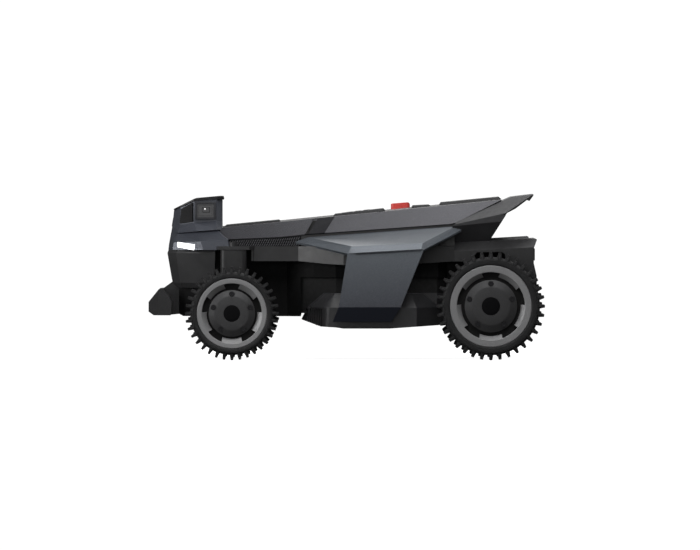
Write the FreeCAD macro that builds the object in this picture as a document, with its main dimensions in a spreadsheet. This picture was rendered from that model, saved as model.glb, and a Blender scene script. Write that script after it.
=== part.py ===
import FreeCAD, Part
import Sketcher
import math, os
from FreeCAD import Vector as V

# Robotic lawn mower: faceted body on four lugged hub-motor wheels, steered front
# wheels, a twin-disc cutting deck that rises and falls, and a sprung nose bumper.
# Frame: +X is forward, +Y is the mower's left, +Z is up. The origin is on the
# ground, under the middle of the machine's length and width. Millimetres.

doc = FreeCAD.newDocument("RoboticMower")
sheet = doc.addObject("Spreadsheet::Sheet", "Params")
PARAMS = [
    ("overall_length", 734.0), ("bumper_half_width", 150.0), ("bumper_travel", 8.0),
    ("front_axle_x", 211.5), ("front_axle_z", 86.5), ("front_face_y", 250.0),
    ("rear_axle_x", -267.0), ("rear_axle_z", 100.0), ("rear_face_y", 255.0),
    ("front_tyre_rad", 86.5), ("front_tyre_w", 60.0), ("front_side_rad", 75.0),
    ("front_rim_rad", 65.0), ("front_ring_rad", 56.2), ("front_bevel_rad", 46.6),
    ("front_cap_rad", 43.0), ("front_flat_rad", 30.0), ("front_badge_rad", 15.5),
    ("front_screw_pcr", 35.8), ("front_stator_rad", 46.0),
    ("rear_tyre_rad", 100.0), ("rear_tyre_w", 66.0), ("rear_side_rad", 88.8),
    ("rear_rim_rad", 75.7), ("rear_ring_rad", 63.5), ("rear_bevel_rad", 54.9),
    ("rear_cap_rad", 48.5), ("rear_flat_rad", 33.6), ("rear_badge_rad", 17.0),
    ("rear_screw_pcr", 41.5), ("rear_stator_rad", 54.0),
    ("lug_base", 9.6), ("lug_tip", 4.6), ("axle_rad", 8.0), ("axle_fit", 0.05),
    ("king_x", 209.0), ("king_y", 148.0), ("king_rad", 8.0), ("column_len", 48.0),
    ("column_wid", 44.0), ("column_fillet", 9.0), ("column_top", 202.6), ("column_bottom", 60.0),
    ("shell_wall", 3.0), ("tub_floor", 80.0), ("tub_top", 206.9), ("well_ceiling", 152.0),
    ("plate_bottom", 207.0), ("plate_top", 210.0),
    ("deck_rim_z", 60.0), ("deck_step_z", 97.0), ("deck_top_z", 123.0), ("deck_ceiling", 100.0),
    ("deck_bevel", 22.0), ("disc_x", -40.0), ("disc_y", 100.0), ("disc_rad", 72.0), ("disc_thick", 3.0),
    ("disc_z", 72.0), ("pivot_rad", 62.0), ("pin_rad", 2.5), ("blade_len", 40.0), ("blade_wid", 18.0),
    ("blade_thick", 1.2), ("blade_z", 69.9), ("blade_motor_rad", 36.0),
    ("rod_rad", 5.0), ("rod_front_x", 52.0), ("rod_rear_x", -125.0), ("screw_x", -155.0), ("screw_rad", 5.0),
    ("stop_len", 35.2), ("stop_wid", 70.0), ("stop_travel", 4.0),
    ("battery_len", 128.0), ("battery_wid", 200.0), ("battery_high", 60.0),
    ("board_len", 150.0), ("board_wid", 110.0), ("board_thick", 1.6),
]
for row, (alias, value) in enumerate(PARAMS, start=1):
    sheet.set("A%d" % row, alias)
    sheet.set("B%d" % row, "%g" % value)
    sheet.setAlias("B%d" % row, alias)
doc.recompute()


def p(alias):
    return float(sheet.get(alias))


NODES = {}


def node(obj, label):
    obj.Label = label
    NODES[label] = obj
    return obj


# ---------------------------------------------------------------- helpers
def xy_sketch(body, name, plane="XY_Plane", offset=0.0):
    sk = body.newObject("Sketcher::SketchObject", name)
    feat = [f for f in body.Origin.OriginFeatures if f.Role == plane][0]
    sk.AttachmentSupport = (feat, [""])
    sk.MapMode = "FlatFace"
    if offset:
        sk.AttachmentOffset = FreeCAD.Placement(V(0, 0, offset), FreeCAD.Rotation())
    return sk


def loop(sk, pts):
    n = len(pts)
    first = sk.GeometryCount
    for i in range(n):
        a, b = pts[i], pts[(i + 1) % n]
        sk.addGeometry(Part.LineSegment(V(a[0], a[1], 0), V(b[0], b[1], 0)), False)
    for i in range(n):
        sk.addConstraint(Sketcher.Constraint("Coincident", first + i, 2, first + (i + 1) % n, 1))


def ring(sk, x, y, rad, expr=None):
    g = sk.addGeometry(Part.Circle(V(x, y, 0), V(0, 0, 1), rad), False)
    c = sk.addConstraint(Sketcher.Constraint("Radius", g, rad))
    if expr:
        sk.setExpression("Constraints[%d]" % c, expr)
    return g


def pad(body, sk, length, expr=None, name="Pad", mid=False, reverse=False):
    f = body.newObject("PartDesign::Pad", name)
    f.Profile = sk
    f.Length = length
    f.Midplane = mid
    f.Reversed = reverse
    if expr:
        f.setExpression("Length", expr)
    sk.Visibility = False
    return f


def pocket(body, sk, length, name="Pocket", reverse=False, through=False):
    f = body.newObject("PartDesign::Pocket", name)
    f.Profile = sk
    f.Length = length
    f.Reversed = reverse
    if through:
        f.Type = 1
    sk.Visibility = False
    return f


def revolve(body, sk, name="Revolution"):
    f = body.newObject("PartDesign::Revolution", name)
    f.Profile = sk
    f.ReferenceAxis = (sk, ["V_Axis"])
    f.Angle = 360.0
    sk.Visibility = False
    return f


def quad(a, b, c, d):
    """Face of four corners, as one plane where they lie in it, or else as two."""
    n = (b - a).cross(c - a)
    if n.Length > 1e-9 and abs((d - a).dot(n.normalize())) < 1e-5:
        return [Part.Face(Part.makePolygon([a, b, c, d, a]))]
    out = []
    for t in ((a, b, c), (a, c, d)):
        if (t[1] - t[0]).cross(t[2] - t[0]).Length > 1e-6:
            out.append(Part.Face(Part.makePolygon([t[0], t[1], t[2], t[0]])))
    return out


def skin(rings):
    """Solid through closed rings of corners that have the same count; the end rings are flat."""
    rings = [[V(*q) for q in r] for r in rings]
    faces = [Part.Face(Part.makePolygon(rings[0] + [rings[0][0]])),
             Part.Face(Part.makePolygon(rings[-1] + [rings[-1][0]]))]
    for r, s in zip(rings, rings[1:]):
        n = len(r)
        for i in range(n):
            j = (i + 1) % n
            if (r[i] - s[i]).Length < 1e-7 and (r[j] - s[j]).Length < 1e-7:
                continue
            faces += quad(r[i], r[j], s[j], s[i])
    shell = Part.makeShell(faces)
    shell.sewShape()
    solid = Part.makeSolid(shell)
    if solid.Volume < 0:
        solid.reverse()
    if not solid.isValid():
        solid.fix(0.01, 0.01, 0.01)
    return solid


def prism_z(plan, z0, z1):
    f = Part.Face(Part.makePolygon([V(x, y, z0) for x, y in plan] + [V(plan[0][0], plan[0][1], z0)]))
    return f.extrude(V(0, 0, z1 - z0))


def prism_y(profile, y0, y1):
    f = Part.Face(Part.makePolygon([V(x, y0, z) for x, z in profile] + [V(profile[0][0], y0, profile[0][1])]))
    return f.extrude(V(0, y1 - y0, 0))


def both(half):
    """Closed plan outline from its left half, front to rear."""
    return list(half) + [(x, -y) for x, y in reversed(half)]


def inset(pts, d):
    """Closed outline moved inwards by d along each edge."""
    n = len(pts)
    area = sum(pts[i][0] * pts[(i + 1) % n][1] - pts[(i + 1) % n][0] * pts[i][1] for i in range(n))
    sgn = 1.0 if area > 0 else -1.0
    out = []
    for i in range(n):
        a, b, c = pts[i - 1], pts[i], pts[(i + 1) % n]
        e1 = (b[0] - a[0], b[1] - a[1])
        e2 = (c[0] - b[0], c[1] - b[1])
        l1, l2 = math.hypot(*e1), math.hypot(*e2)
        n1 = (-e1[1] / l1 * sgn, e1[0] / l1 * sgn)
        n2 = (-e2[1] / l2 * sgn, e2[0] / l2 * sgn)
        k = 1 + n1[0] * n2[0] + n1[1] * n2[1]
        out.append((b[0] + d * (n1[0] + n2[0]) / k, b[1] + d * (n1[1] + n2[1]) / k))
    return out


def panel(facets, vec):
    """Sheet of flat facets, made solid by a thickness vector."""
    v = V(*vec)
    solids = []
    for f in facets:
        pts = [V(*q) for q in f]
        if len(pts) == 4:
            for face in quad(*pts):
                solids.append(face.extrude(v))
        else:
            solids.append(Part.Face(Part.makePolygon(pts + [pts[0]])).extrude(v))
    out = solids[0].multiFuse(solids[1:]) if len(solids) > 1 else solids[0]
    return out.removeSplitter()


def box(x0, x1, y0, y1, z0, z1):
    return Part.makeBox(x1 - x0, y1 - y0, z1 - z0, V(x0, y0, z0))


def cyl(x, y, z0, z1, rad):
    return Part.makeCylinder(rad, z1 - z0, V(x, y, z0), V(0, 0, 1))


def cyl_y(x, z, y0, y1, rad):
    return Part.makeCylinder(rad, abs(y1 - y0), V(x, min(y0, y1), z), V(0, 1, 0))


def clean(shape, least=300.0):
    """The solids worth keeping of a boolean result, as one solid where there is one."""
    solids = [s for s in shape.Solids if s.Volume > least]
    if len(solids) == 1:
        return solids[0]
    return Part.makeCompound(solids)


def feature(label, shape):
    obj = doc.addObject("Part::Feature", label)
    obj.Shape = shape
    obj.Placement = FreeCAD.Placement()
    return node(obj, label)


def mirrored(shape):
    return shape.mirror(V(0, 0, 0), V(0, 1, 0))


# ---------------------------------------------------------------- body lines
# Upper edge of the side panels, and their lower edge, both rising to the rear.
def z_top(x):
    return 244.4 + 0.1002 * (227.1 - x)


def y_top(x):
    return 92.0 + (227.0 - x) * 0.0738


LOW = [(222.0, 122.0, 222.8), (122.7, 142.0, 227.2), (75.8, 150.0, 232.2), (39.9, 153.0, 234.8),
       (-191.8, 168.0, 251.6), (-203.0, 169.0, 254.0)]


def low_at(x):
    for a, b in zip(LOW, LOW[1:]):
        if a[0] >= x >= b[0]:
            t = (a[0] - x) / (a[0] - b[0])
            return (x, a[1] + t * (b[1] - a[1]), a[2] + t * (b[2] - a[2]))
    return LOW[0] if x > LOW[0][0] else LOW[-1]


W = p("shell_wall")
KX, KY = p("king_x"), p("king_y")

# ---------------------------------------------------------------- chassis tub
TUB_HALF = [(322, 64), (300, 86), (250, 104), (110, 112), (60, 150), (20, 168), (-170, 168), (-187, 150), (-343.5, 150)]
TUB_PLAN = both(TUB_HALF)
tub_profile = [(322.8, 90.8), (303, p("tub_floor")), (92, p("tub_floor")), (92, p("well_ceiling")),
               (-187, p("well_ceiling")), (-187, 85), (-330, 85), (-343.5, 100), (-343.5, p("tub_top")), (313.5, p("tub_top")), (313.5, 127),
               (322.8, 118)]
tub_inner = [(319.8, 92.6), (302, 83), (95, 83), (95, 155), (-190, 155), (-190, 88), (-328.8, 88),
             (-340.5, 101), (-340.5, 230), (310.5, 230), (310.5, 125.6),
             (319.8, 116.6)]
tub = prism_y(tub_profile, -200, 200).common(prism_z(TUB_PLAN, 70, 240))
tub = tub.cut(prism_y(tub_inner, -200, 200).common(prism_z(inset(TUB_PLAN, W), 70, 240)))
# bulkheads that stiffen the tub fore and aft of the deck well
tub = tub.fuse(box(120, 123, -109, 109, 83, 150)).fuse(box(-196, -193, -147, 147, 88, 150))
# channels along both sides of the well, open below, for the curtains of the deck
chan_out = prism_z(inset(TUB_PLAN, W - 0.5), 151, 186).cut(prism_z(inset(TUB_PLAN, 10.3), 140, 200))
chan_in = prism_z(inset(TUB_PLAN, W), 140, 183.5).cut(prism_z(inset(TUB_PLAN, 7.8), 130, 200))
# side flanges that lap over the front ends of the curtains
flange = prism_z(TUB_PLAN, 80, 153).cut(prism_z(inset(TUB_PLAN, W), 70, 160)).common(box(84, 93, -200, 200, 80, 153))
tub = tub.fuse(flange)
tub = tub.fuse(chan_out.common(box(-190, 95, -200, 200, 100, 200))).cut(chan_in.common(box(-187, 92, -200, 200, 100, 200)))
tub = tub.cut(cyl(p("screw_x"), 0, 150, 156, 5.6))
for s in (1, -1):
    # slots for the bumper arms, and the bores that pass the rear axle cables
    tub = tub.cut(box(300, 330, min(s * 57, s * 75), max(s * 57, s * 75), 79, 149))
    tub = tub.cut(cyl_y(p("rear_axle_x"), p("rear_axle_z"), s * 140, s * 152, 6.0))
tub = clean(tub)

# ---------------------------------------------------------------- waist shell
MID_HALF = [(184, 150), (89, 157), (5, 205), (-18, 212), (-120, 212), (-140, 186), (-200, 180)]
mid_out = prism_z(both(MID_HALF), 176.0, p("plate_top")).cut(
    prism_y([(3, 170), (3, 176), (-140, 178.5), (-210, 183), (-210, 170)], -220, 220))
mid_in = prism_z(inset(both([(187, 150)] + MID_HALF[1:-1] + [(-203, 180)]), W), 150, p("plate_bottom"))
shelf = prism_z(both([(242, 118), (232, 166), (184, 166), (150, 120)]), 203.6, p("plate_top"))
plate = prism_z(both([(262, 96), (242, 118), (184, 120), (-200, 150)]), p("plate_bottom"), p("plate_top"))
mid = mid_out.cut(mid_in).cut(prism_y([(262, 170), (262, 182.6), (88, 182.6), (35, 177.4), (3, 176), (3, 170)], -220, 220)).fuse(plate)
for s in (1, -1):
    sh = prism_z([(242, s * 116), (236, s * 162), (180, s * 166), (150, s * 120)], 203.6, p("plate_top"))
    mid = mid.fuse(sh)
# shoulder over the rear of the waist
sh_out = skin([[(-122, -184, 182), (-122, -184, 197), (-122, -160, 212), (-122, 160, 212), (-122, 184, 197), (-122, 184, 182)],
               [(-200, -180, 182), (-200, -180, 200.8), (-200, -157, 217.5), (-200, 157, 217.5), (-200, 180, 200.8), (-200, 180, 182)]])
sh_in = skin([[(-118, -181, 178), (-118, -181, 195.5), (-118, -159, 209.0), (-118, 159, 209.0), (-118, 181, 195.5), (-118, 181, 178)],
              [(-204, -177, 178), (-204, -177, 199.3), (-204, -156, 214.5), (-204, 156, 214.5), (-204, 177, 199.3), (-204, 177, 178)]])
mid = mid.fuse(sh_out.cut(sh_in))
# upstand that carries the side panels and the vents
up = []
xs = [219.0, 160.0, 122.7, 75.8, 39.9, -80.0, -191.8, -200.5]
for a, b in zip(xs, xs[1:]):
    la, lb = low_at(a), low_at(b)
    up.append([(a, la[1] - 3.0, 208.5), (b, lb[1] - 3.0, 208.5), (b, lb[1] - 3.0, lb[2] - 1.3), (a, la[1] - 3.0, la[2] - 1.3)])
upstand = panel(up, (0, -3.0, 0))
mid = mid.fuse(upstand).fuse(mirrored(upstand))
for s in (1, -1):
    mid = mid.cut(cyl(KX, s * KY, 150, 203.6, 33.0))
    mid = mid.cut(cyl(KX, s * KY, 195, 215, p("king_rad") + 0.3))
mid = clean(mid.cut(tub))

# ---------------------------------------------------------------- nose shell
nose_low = both([(318, 68), (304, 92), (246, 108)])
nose_mid = both([(323, 71), (308, 96), (245, 114)])
nose_top = both([(332.5, 76), (316, 100), (243, 122)])
nose_rim = both([(330.6, 72), (314.5, 96), (243, 120)])


def at_z(plan, z):
    return [(x, y, z) for x, y in plan]


nose_out = skin([at_z(nose_low, 132.5), at_z(nose_mid, 142), at_z(nose_top, 197), at_z(nose_rim, 202.6)])
nose_in = skin([at_z(inset(both([(318, 68), (304, 92), (230, 108)]), 3.4), 128),
                at_z(inset(both([(323, 71), (308, 96), (230, 114)]), 3.4), 142),
                at_z(inset(both([(332.5, 76), (316, 100), (230, 122)]), 3.4), 197),
                at_z(inset(both([(330.6, 72), (314.5, 96), (230, 120)]), 3.4), 206)])
nose = nose_out.cut(nose_in).cut(tub).cut(mid)
for s in (1, -1):
    nose = nose.cut(cyl(KX, s * KY, 100, 203.5, 33.0))
    nose = nose.cut(box(296, 345, min(s * 57, s * 75), max(s * 57, s * 75), 128, 149))
nose = clean(nose, 2000)


# ---------------------------------------------------------------- camera head
def head_ring(zs, pts):
    """Ring of the head from its left half; each corner has its own height."""
    half = [(x, y, z) for (x, y), z in zip(pts, zs)]
    return half + [(x, -y, z) for x, y, z in reversed(half)]


H0 = head_ring([203] * 5, [(331, 58), (323, 88), (266, 124), (216, 131), (212, 112)])
H1 = head_ring([214, 217, 218.7, 222.4, 222.4], [(329.6, 58), (320.5, 86), (270, 122), (220.5, 128.5), (214, 112)])
H2 = head_ring([234, 233.2, 236.2, 239.4, 239.4], [(326, 56), (313.2, 80), (278, 92), (240, 99), (231, 92)])
H2b = head_ring([235, 234.4, 237.4, 240.4, 240.4], [(325.7, 56), (313.0, 83), (277.6, 97), (240, 105), (231, 95)])
H3 = head_ring([250, 250, 253.5, 256.4, 256.4], [(323, 54), (309.8, 72), (283, 84), (240.6, 87.5), (231, 80)])
H4 = head_ring([280, 280, 292, 297.0, 297.0], [(318.4, 52), (306.3, 66), (283.0, 79.5), (240.6, 85.5), (231, 79)])


def flat_cap(r, z):
    return [(x, y, z) for x, y, _ in r]


head_body = skin([H0, H1, H2, H2b, H3, [(x, y, max(zz, 298.0)) for x, y, zz in flat_cap(H4, 298.0)]])
roof_under = [(330, 274.0), (318.4, 279.0), (284, 294.2), (240, 297.2), (225, 297.6), (225, 330), (330, 330)]
head = head_body.cut(prism_y(roof_under, -140, 140))


def shrink(r, k, dz):
    return [(276 + (x - 276) * k, y * k, z + dz) for x, y, z in r]


K = 0.925
head_in = skin([[(x, y, 198.0) for x, y, _ in shrink(H0, K, 0)], shrink(H1, K, -2.0), shrink(H2, K, -2.5), shrink(H3, K, -2.5),
                [(x, y, 277.0) for x, y, _ in shrink(H4, K, 0)]])
head = head.cut(head_in)
half = head.common(box(150, 400, -300, 0, 150, 400))
head = half.fuse(mirrored(half)).removeSplitter()
head = clean(head.cut(mid).cut(nose).cut(tub))

# roof that caps the head: thin lid with a folded front and a small overhang
roof_prof = [(321.5, 278.6), (283.5, 297.6), (279, 299.0), (236, 302.8), (229.5, 302.8), (228, 299.5), (228, 296.2),
             (240, 297.2), (284, 294.2), (319.6, 276.6)]
roof_half = [(322, 55), (308, 70), (283, 84.5), (240, 90.0), (226, 83)]
roof = prism_y(roof_prof, -120, 120).common(prism_z(both(roof_half), 260, 320)).cut(head)
roof = clean(roof, 50)


def plane_y(a, b, c, x, z):
    """Y of the point at x, z in the plane of three points."""
    n = (V(*b) - V(*a)).cross(V(*c) - V(*a))
    return a[1] - (n.x * (x - a[0]) + n.z * (z - a[2])) / n.y


# glossy window: front face of the head and both front cheeks
def off(pts, d, ref):
    """Corners moved out along their own plane's normal, away from ref."""
    a, b, c = (V(*q) for q in pts[:3])
    n = (b - a).cross(c - a).normalize()
    if n.dot(a - V(*ref)) < 0:
        n = n * -1
    return [V(*q) + n * d for q in pts], n


win = []
fa, fb, fc = (323.0, 54.0, 250.0), (323.0, -54.0, 250.0), (318.4, 52.0, 280.0)


def x_front(z):
    return 323.0 + (z - 250.0) * (318.4 - 323.0) / 30.0


head = head.cut(prism_y([(x_front(226) - 1.6, 226), (x_front(226) + 9, 226), (x_front(276) + 9, 276), (x_front(276) - 1.6, 276)], -47.2, 47.2))
front = [(x_front(226), 47.0, 226), (x_front(276), 44.0, 276), (x_front(276), -44.0, 276), (x_front(226), -47.0, 226)]
win.append(Part.Face(Part.makePolygon([V(*q) for q in front] + [V(*front[0])])).extrude(V(-1.2, 0, -0.1)))
for s in (1, -1):
    t1 = [(309.8, 72, 250), (283.0, 84, 253.5), (283.0, 79.5, 292.0)]
    y4 = plane_y(t1[0], t1[1], t1[2], 306.9, 278.0)
    face = [(309.0, plane_y(*t1, 309.0, 251.5), 251.5), (284.6, plane_y(*t1, 284.6, 254.8), 254.8),
            (284.6, plane_y(*t1, 284.6, 290.6), 290.6), (306.2, plane_y(*t1, 306.2, 279.0), 279.0)]
    face = [(x, s * y, z) for x, y, z in face]
    pts, n = off(face, 0.3, (270, 0, 265))
    win.append(Part.Face(Part.makePolygon(pts + [pts[0]])).extrude(n * 2.4))
window = win[0]
window = Part.makeCompound([clean(w.cut(head).cut(roof), 20) for w in win])

# side camera housings with their dark lenses; three lenses look forward
cams = []
for s in (1, -1):
    t2 = [(283.0, 84, 253.5), (240.6, 87.5, 256.4), (240.6, 85.5, 297.0)]
    fr = [(281.0, 259.6), (242.4, 259.6), (242.4, 291.8), (281.0, 291.8)]
    y_f = max(plane_y(*t2, x, z) for x, z in fr)
    blk = Part.Face(Part.makePolygon([V(x, s * (y_f - 6), z) for x, z in fr] + [V(fr[0][0], s * (y_f - 6), fr[0][1])])).extrude(V(0, s * 9.4, 0))
    hole = box(246.6, 276.8, min(s * (y_f + 1.6), s * (y_f + 6)), max(s * (y_f + 1.6), s * (y_f + 6)), 263.8, 287.6)
    blk = blk.cut(hole).cut(head).cut(window).cut(roof)
    cams.append(clean(blk, 100))
camera_housings = Part.makeCompound(cams)
lens = []
for s in (1, -1):
    y_f = max(plane_y(*t2, x, z) for x, z in fr)
    lens.append(box(246.8, 276.6, min(s * (y_f + 1.6), s * (y_f + 2.6)), max(s * (y_f + 1.6), s * (y_f + 2.6)), 264.0, 287.4))
for y in (-30.0, 0.0, 30.0):
    base = V(x_front(254) - 0.5, y, 254.0)
    lens.append(Part.makeCylinder(8.5 if y else 6.0, 1.4, base, V(1, 0, 0.153)).cut(window).cut(head))
lenses = Part.makeCompound([clean(x, 20) for x in lens])

# headlights let into the front of the cheeks
lights = []
for s in (1, -1):
    a, b, c = (323, 88, 203), (266, 124, 203), (320.5, 86, 217)
    hp = [(312.5, 217.4), (281.2, 213.0), (282.0, 202.9), (312.9, 208.4)]
    pts = [(x, s * plane_y((320.5, 86, 217), (270, 122, 218.7), (266, 124, 203), x, z), z) for x, z in hp]
    pts, n = off(pts, 0.2, (270, 0, 210))
    lights.append(clean(Part.Face(Part.makePolygon(pts + [pts[0]])).extrude(n * 1.8).cut(head).cut(nose), 10))
headlights = Part.makeCompound(lights)

# ---------------------------------------------------------------- upper side panels and top cover
side_facets = []
sx = [236.0, 122.7, 75.8, 39.9, -191.8, -203.0]
tops = {236.0: 238.0, 122.7: 122.7, 75.8: 60.0, 39.9: 22.0, -191.8: -262.0, -203.0: -287.5}
for a, b in zip(sx, sx[1:]):
    la, lb = low_at(a), low_at(b)
    ta, tb = tops[a], tops[b]
    side_facets.append([la, lb, (tb, y_top(tb), z_top(tb)), (ta, y_top(ta), z_top(ta))])
side_raw = panel(side_facets, (0, -3.2, -1.6))
side = side_raw.cut(prism_y([(300, 190), (236, 190), (236, 300), (300, 300)], -200, 200)).cut(head).cut(mid).cut(tub)
# the slot between the front and rear lengths of the panel
slot = prism_y([(74.5, 226), (67.0, 226), (53.5, 266), (60.5, 266)], 80, 190)
slot = slot.cut(prism_y([(90, 261.2), (30, 263.4), (30, 290), (90, 290)], 70, 200)).cut(
    prism_y([(90, 200), (90, 235.8), (30, 237.8), (30, 200)], 70, 200))
grooves = side.cut(side.translated(V(0, -1.6, -0.8)))
side = clean(side.cut(slot.common(side_raw.translated(V(0, 1.7, 0.8)))))

cover_rings = []
for x in (236.0, -287.5):
    y, z = y_top(x) + 0.0, z_top(x)
    cover_rings.append([(x, y, z), (x, 0.62 * y, z + 2.4), (x, -0.62 * y, z + 2.4), (x, -y, z),
                        (x, -y, z - 3.0), (x, -0.62 * y, z - 0.8), (x, 0.62 * y, z - 0.8), (x, y, z - 3.0)])
cover = skin(cover_rings)


def plate_on(x0, x1, w0, w1, h0, h1, edge=3.0):
    """Raised plate on the cover from x0 back to x1, with sloped edges."""
    def sec(x, w, h, top):
        z = z_top(x)
        return [(x, w, z + 0.2), (x, w - edge, z + h), (x, -w + edge, z + h), (x, -w, z + 0.2)]
    d = 4.0 if x0 > x1 else -4.0
    return skin([sec(x0, w0, 0.6, 0), sec(x0 - d, w0, h0, 0), sec(x1 + d, w1, h1, 0), sec(x1, w1, 0.6, 0)])


cover = cover.fuse(plate_on(227.5, 121.6, 82, 88, 4.6, 4.2))
cover = cover.fuse(plate_on(25.0, -73.0, 90, 98, 4.6, 5.9))
cover = cover.fuse(plate_on(-119.8, -157.5, 90, 94, 5.8, 4.4))
cover = cover.fuse(plate_on(-172.0, -287.4, 96, 104, 6.4, 5.9))
cover = cover.cut(box(-118.6, -82.4, -35.6, 35.6, 240, 310))
cover = cover.cut(box(-56.0, 10.0, -42.0, 42.0, 271.0, 310)).fuse(
    skin([[(10.0, -44, z_top(10) - 0.6), (10.0, -44, z_top(10) + 3.2), (10.0, 44, z_top(10) + 3.2), (10.0, 44, z_top(10) - 0.6)],
          [(-56.0, -44, z_top(-56) - 0.6), (-56.0, -44, z_top(-56) + 4.0), (-56.0, 44, z_top(-56) + 4.0), (-56.0, 44, z_top(-56) - 0.6)]]))
cover = cover.cut(side).cut(mirrored(side)).cut(head).cut(roof)
cover = max(cover.Solids, key=lambda q: q.Volume)
# display and keys pane, set flush in the centre plate
pane = skin([[(8.0, -40, z_top(8) + 3.22), (8.0, -40, z_top(8) + 5.2), (8.0, 40, z_top(8) + 5.2), (8.0, 40, z_top(8) + 3.22)],
             [(-54.0, -40, z_top(-54) + 3.98), (-54.0, -40, z_top(-54) + 5.9), (-54.0, 40, z_top(-54) + 5.9), (-54.0, 40, z_top(-54) + 3.98)]]).cut(cover)
pane = clean(pane)

# ---------------------------------------------------------------- rear shell
rear_prof = [(-200, 110), (-200, 240), (-338.5, 240), (-338.5, 228.2), (-353.4, 222.7), (-347.3, 207), (-347.0, 179.5),
             (-352.3, 156), (-352.9, 124), (-348.5, 120), (-306, 120), (-290, 110)]
rs_out = skin([[(-200, -180, 182), (-200, -180, 200.8), (-200, -157, 217.5), (-200, 157, 217.5), (-200, 180, 200.8), (-200, 180, 182)],
               [(-356, -180, 182), (-356, -180, 209.0), (-356, -157, 224.4), (-356, 157, 224.4), (-356, 180, 209.0), (-356, 180, 182)]])
skirt = prism_y([(-296, 186), (-299, 130), (-306, 120), (-356, 120), (-356, 186)], -180, 180)
rs_in = skin([[(-196, -177, 176), (-196, -177, 199.3), (-196, -156, 214.5), (-196, 156, 214.5), (-196, 177, 199.3), (-196, 177, 176)],
              [(-344, -177, 176), (-344, -177, 205.2), (-344, -156, 220.4), (-344, 156, 220.4), (-344, 177, 205.2), (-344, 177, 176)]])
skirt_in = prism_y([(-290, 190), (-290, 110), (-344, 110), (-344, 190)], -177, 177)
rear = rs_out.fuse(skirt).common(prism_y(rear_prof, -190, 190)).cut(rs_in).cut(skirt_in)
arch = prism_y([(-236, 170), (-236, 192), (-242, 199), (-288, 199.8), (-294, 195), (-294, 170)], -190, 190)
rear = rear.cut(arch.cut(box(-400, 0, -170, 170, 0, 400)))
rear = rear.fuse(skin([[(-268, -132, 219.0), (-268, -130, 223.6), (-268, 130, 223.6), (-268, 132, 219.0)],
                       [(-338, -132, 222.0), (-338, -130, 227.6), (-338, 130, 227.6), (-338, 132, 222.0)]]))
# raised block at the rear with two recesses for the charging contacts
rear = rear.fuse(box(-350.4, -345.0, -60, 60, 183, 205))
rear = rear.cut(box(-351, -348.2, -44, -14, 187, 201)).cut(box(-351, -348.2, 14, 44, 187, 201))
rear = clean(rear.cut(mid).cut(tub))
contacts = Part.makeCompound([box(-349.6, -348.2, -43, -15, 188, 200), box(-349.6, -348.2, 15, 43, 188, 200)])

# ---------------------------------------------------------------- spoiler and tail pillar
sp_prof = [(-199, 216.6), (-196.0, 246), (-204.9, 255.3), (-289.1, 294.2), (-306, 301.5), (-346.9, 306.4), (-347.2, 303.5), (-339.2, 291.9),
           (-297.9, 271.6), (-264.6, 219.0)]
sp = prism_y(sp_prof, -176, 176)


def clip(shape, a, b, c, keep):
    """Cuts away the side of the plane through three points that doesn't hold keep."""
    a, b, c, keep = V(*a), V(*b), V(*c), V(*keep)
    n = (b - a).cross(c - a).normalize()
    if n.dot(keep - a) > 0:
        n = n * -1
    blk = Part.makeBox(900, 900, 900, V(-450, -450, 0))
    blk.Placement = FreeCAD.Placement(a, FreeCAD.Rotation(V(0, 0, 1), n))
    return shape.cut(blk)


A_, B_, C_ = (-204.9, 169, 255.3), (-289.1, y_top(-289), 294.0), (-335.1, 141, 298.6)
D_ = (-241.5, plane_y(A_, B_, C_, -241.5, 257.9), 257.9)
for s in (1, -1):
    f = lambda q: (q[0], s * q[1], q[2])
    sp = clip(sp, f(A_), f(B_), f(C_), (-280, 0, 280))
    sp = clip(sp, f((-200, 153, 213)), f((-262, 149, 213)), f((-241.5, D_[1] + 1.0, 259)), (-280, 0, 250))
    # the tip's corner only: the pillar below keeps its full depth
    low_ = sp.common(box(-420, -100, -220, 220, 100, 268))
    sp = sp.common(box(-420, -100, -220, 220, 268, 400))
    sp = clip(sp, f((-347, 126, 306)), f((-335.1, 141.5, 298.6)), f((-300, 141.0, 272)), (-280, 0, 290)).fuse(low_)
# hollow inside the pillar, and a shallow one under the wing
sp = sp.cut(prism_y([(-212, 190), (-212, 240), (-222, 248), (-250, 262), (-256, 262), (-252, 190)], -96, 96))
sp = sp.cut(prism_y([(-304, 270.8), (-300, 282), (-318, 291), (-334, 296.5), (-341, 293.0)], -112, 112))
sp = clean(sp.cut(rear).cut(mid).cut(side).cut(mirrored(side)).cut(cover), 10000)

# ---------------------------------------------------------------- flank panels
def fl(x, y, z):
    return (x, y, z)


i0, i1 = low_at(71.0), low_at(-202.9)
F_in_front = (71.0, i0[1] + 0.6, 226.8)
F_tip = (94.0, 147.0, 218.6)
F_k1 = (-10.6, 222.0, 210.4)
F_k0 = (-2.2, 224.5, 197.0)
F_k2 = (-141.6, 223.0, 216.5)
F_k3 = (-143.0, 226.5, 204.0)
F_in_rear = (-201.8, 170.2, 247.4)
F_rtip = (-213.0, 172.0, 240.6)
F_s0 = (-20.5, 229.5, 198.6)
F_s1 = (-138.5, 230.5, 205.2)
F_m0 = (14.0, 236.0, 98.0)
F_m1 = (-100.6, 236.0, 98.0)
F_b0 = (25.2, 229.0, 71.2)
F_b1 = (-83.5, 229.0, 71.2)
flank_facets = [
    [F_in_front, F_k1, F_k2, F_in_rear],
    [F_tip, F_k0, F_k1, F_in_front],
    [F_in_rear, F_k2, F_k3, F_rtip],
    [F_k1, F_s0, F_s1, F_k2],
    [F_k1, F_k0, F_s0, F_s0],
    [F_k2, F_s1, F_k3, F_k3],
    [F_s0, F_k0, F_k3, F_s1],
    [F_k0, F_m0, F_m1, F_k3],
    [F_m0, F_b0, F_b1, F_m1],
]


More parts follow.
